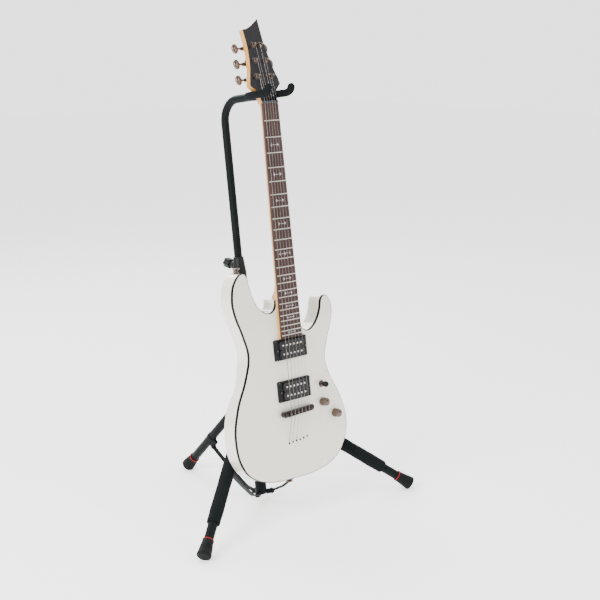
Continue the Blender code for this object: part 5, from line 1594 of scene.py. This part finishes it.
def make_stage():
    settings = bpy.context.scene.stage_settings
    shape = Shape()
    bmesh.ops.create_grid(shape.bm, x_segments=1, y_segments=1, size=12)
    mesh = bpy.data.meshes.new("floor")
    shape.bm.to_mesh(mesh)
    shape.bm.free()
    mesh.materials.append(FINISHES.get("floor"))
    floor = bpy.data.objects.new("floor", mesh)
    bpy.context.scene.collection.objects.link(floor)

    foot = COLUMN.translation
    camera = bpy.data.objects.new("camera", bpy.data.cameras.new("camera"))
    camera.data.lens = settings.lens
    camera.data.sensor_width = 36
    camera.location = (
        foot.x - settings.distance * math.sin(settings.bearing),
        foot.y - settings.distance * math.cos(settings.bearing),
        settings.height,
    )
    camera.rotation_euler = (math.pi / 2 - settings.pitch, 0, -settings.heading)
    bpy.context.scene.collection.objects.link(camera)
    bpy.context.scene.camera = camera

    bpy.context.scene.world = studio_world(settings)

    def softbox(name, place, size, power, target=(0, 0, 0.5)):
        light = bpy.data.lights.new(name, "AREA")
        light.shape = "RECTANGLE"
        light.size = size[0]
        light.size_y = size[1]
        light.energy = power
        item = bpy.data.objects.new(name, light)
        item.matrix_world = Matrix.Translation(place) @ (
            (Vector(place) - Vector(target)).to_track_quat("Z", "Y").to_matrix().to_4x4()
        )
        bpy.context.scene.collection.objects.link(item)

    softbox("key", (-2.5, -0.5, 1.9), (1.5, 1.5), settings.key_power)
    softbox("fill", (0.8, -2.9, 2.1), (1.6, 1.6), settings.fill_power)
    softbox("back", (0.6, 2.4, 2.3), (2.0, 1.2), settings.fill_power)


# Operators


class GUITARSTAND_OT_stage(Operator):
    """Set the floor, the lights and the camera"""

    bl_idname = "guitarstand.stage"
    bl_label = "Stage"
    bl_options = {"REGISTER", "UNDO"}

    def execute(self, context):
        make_stage()
        return {"FINISHED"}


class GUITARSTAND_OT_column(Operator):
    """Make the two column tubes, the height clamp and the hub"""

    bl_idname = "guitarstand.column"
    bl_label = "Column"
    bl_options = {"REGISTER", "UNDO"}

    def execute(self, context):
        make_columns()
        make_clamp()
        make_hub()
        return {"FINISHED"}


class GUITARSTAND_OT_tripod(Operator):
    """Make the crown, the legs with their struts, sleeves and feet"""

    bl_idname = "guitarstand.tripod"
    bl_label = "Tripod"
    bl_options = {"REGISTER", "UNDO"}

    def execute(self, context):
        make_crown()
        make_legs()
        make_struts()
        make_foam()
        make_feet()
        return {"FINISHED"}


class GUITARSTAND_OT_fork(Operator):
    """Make the padded fork that holds the head"""

    bl_idname = "guitarstand.fork"
    bl_label = "Fork"
    bl_options = {"REGISTER", "UNDO"}

    def execute(self, context):
        make_fork()
        return {"FINISHED"}


class GUITARSTAND_OT_body(Operator):
    """Make the body with its edge strip, plate, strap buttons and jack"""

    bl_idname = "guitarstand.body"
    bl_label = "Body"
    bl_options = {"REGISTER", "UNDO"}

    def execute(self, context):
        make_body()
        make_fittings()
        return {"FINISHED"}


class GUITARSTAND_OT_neck(Operator):
    """Make the neck, head, fingerboard, frets and inlays"""

    bl_idname = "guitarstand.neck"
    bl_label = "Neck"
    bl_options = {"REGISTER", "UNDO"}

    def execute(self, context):
        make_neck()
        make_fingerboard()
        return {"FINISHED"}


class GUITARSTAND_OT_tuners(Operator):
    """Make the tuners and the strings"""

    bl_idname = "guitarstand.tuners"
    bl_label = "Tuners and strings"
    bl_options = {"REGISTER", "UNDO"}

    def execute(self, context):
        make_tuners()
        make_strings()
        return {"FINISHED"}


class GUITARSTAND_OT_electrics(Operator):
    """Make the pickups, the bridge, the knobs and the switch"""

    bl_idname = "guitarstand.electrics"
    bl_label = "Pickups, bridge and controls"
    bl_options = {"REGISTER", "UNDO"}

    def execute(self, context):
        make_pickups()
        make_bridge()
        make_controls()
        return {"FINISHED"}


class GUITARSTAND_PT_sidebar(Panel):
    """Lists the steps that make the guitar on its stand"""

    bl_idname = "GUITARSTAND_PT_sidebar"
    bl_label = "Guitar on Stand"
    bl_space_type = "VIEW_3D"
    bl_region_type = "UI"
    bl_category = "Guitar"

    def draw(self, context):
        for step in STEPS:
            self.layout.operator(step.bl_idname)
        for name in SETTINGS:
            box = self.layout.box()
            group = getattr(context.scene, name)
            for key in group.bl_rna.properties.keys():
                if key not in ("rna_type", "name"):
                    box.prop(group, key)


STEPS = (
    GUITARSTAND_OT_stage, GUITARSTAND_OT_column, GUITARSTAND_OT_tripod, GUITARSTAND_OT_fork,
    GUITARSTAND_OT_body, GUITARSTAND_OT_neck, GUITARSTAND_OT_tuners, GUITARSTAND_OT_electrics,
)
SETTINGS = {
    "stand_sizes": StandSizes, "guitar_sizes": GuitarSizes, "guitar_colours": Colours,
    "stage_settings": StageSettings,
}


def register():
    for group in SETTINGS.values():
        bpy.utils.register_class(group)
    for name, group in SETTINGS.items():
        setattr(bpy.types.Scene, name, PointerProperty(type=group))
    for kind in (*STEPS, GUITARSTAND_PT_sidebar):
        bpy.utils.register_class(kind)


def unregister():
    for kind in reversed((*STEPS, GUITARSTAND_PT_sidebar)):
        bpy.utils.unregister_class(kind)
    for name, group in SETTINGS.items():
        delattr(bpy.types.Scene, name)
        bpy.utils.unregister_class(group)


def main():
    register()
    bpy.ops.guitarstand.stage()
    bpy.ops.guitarstand.column()
    bpy.ops.guitarstand.tripod()
    bpy.ops.guitarstand.fork()
    bpy.ops.guitarstand.body()
    bpy.ops.guitarstand.neck()
    bpy.ops.guitarstand.tuners()
    bpy.ops.guitarstand.electrics()


if __name__ == "__main__":
    main()
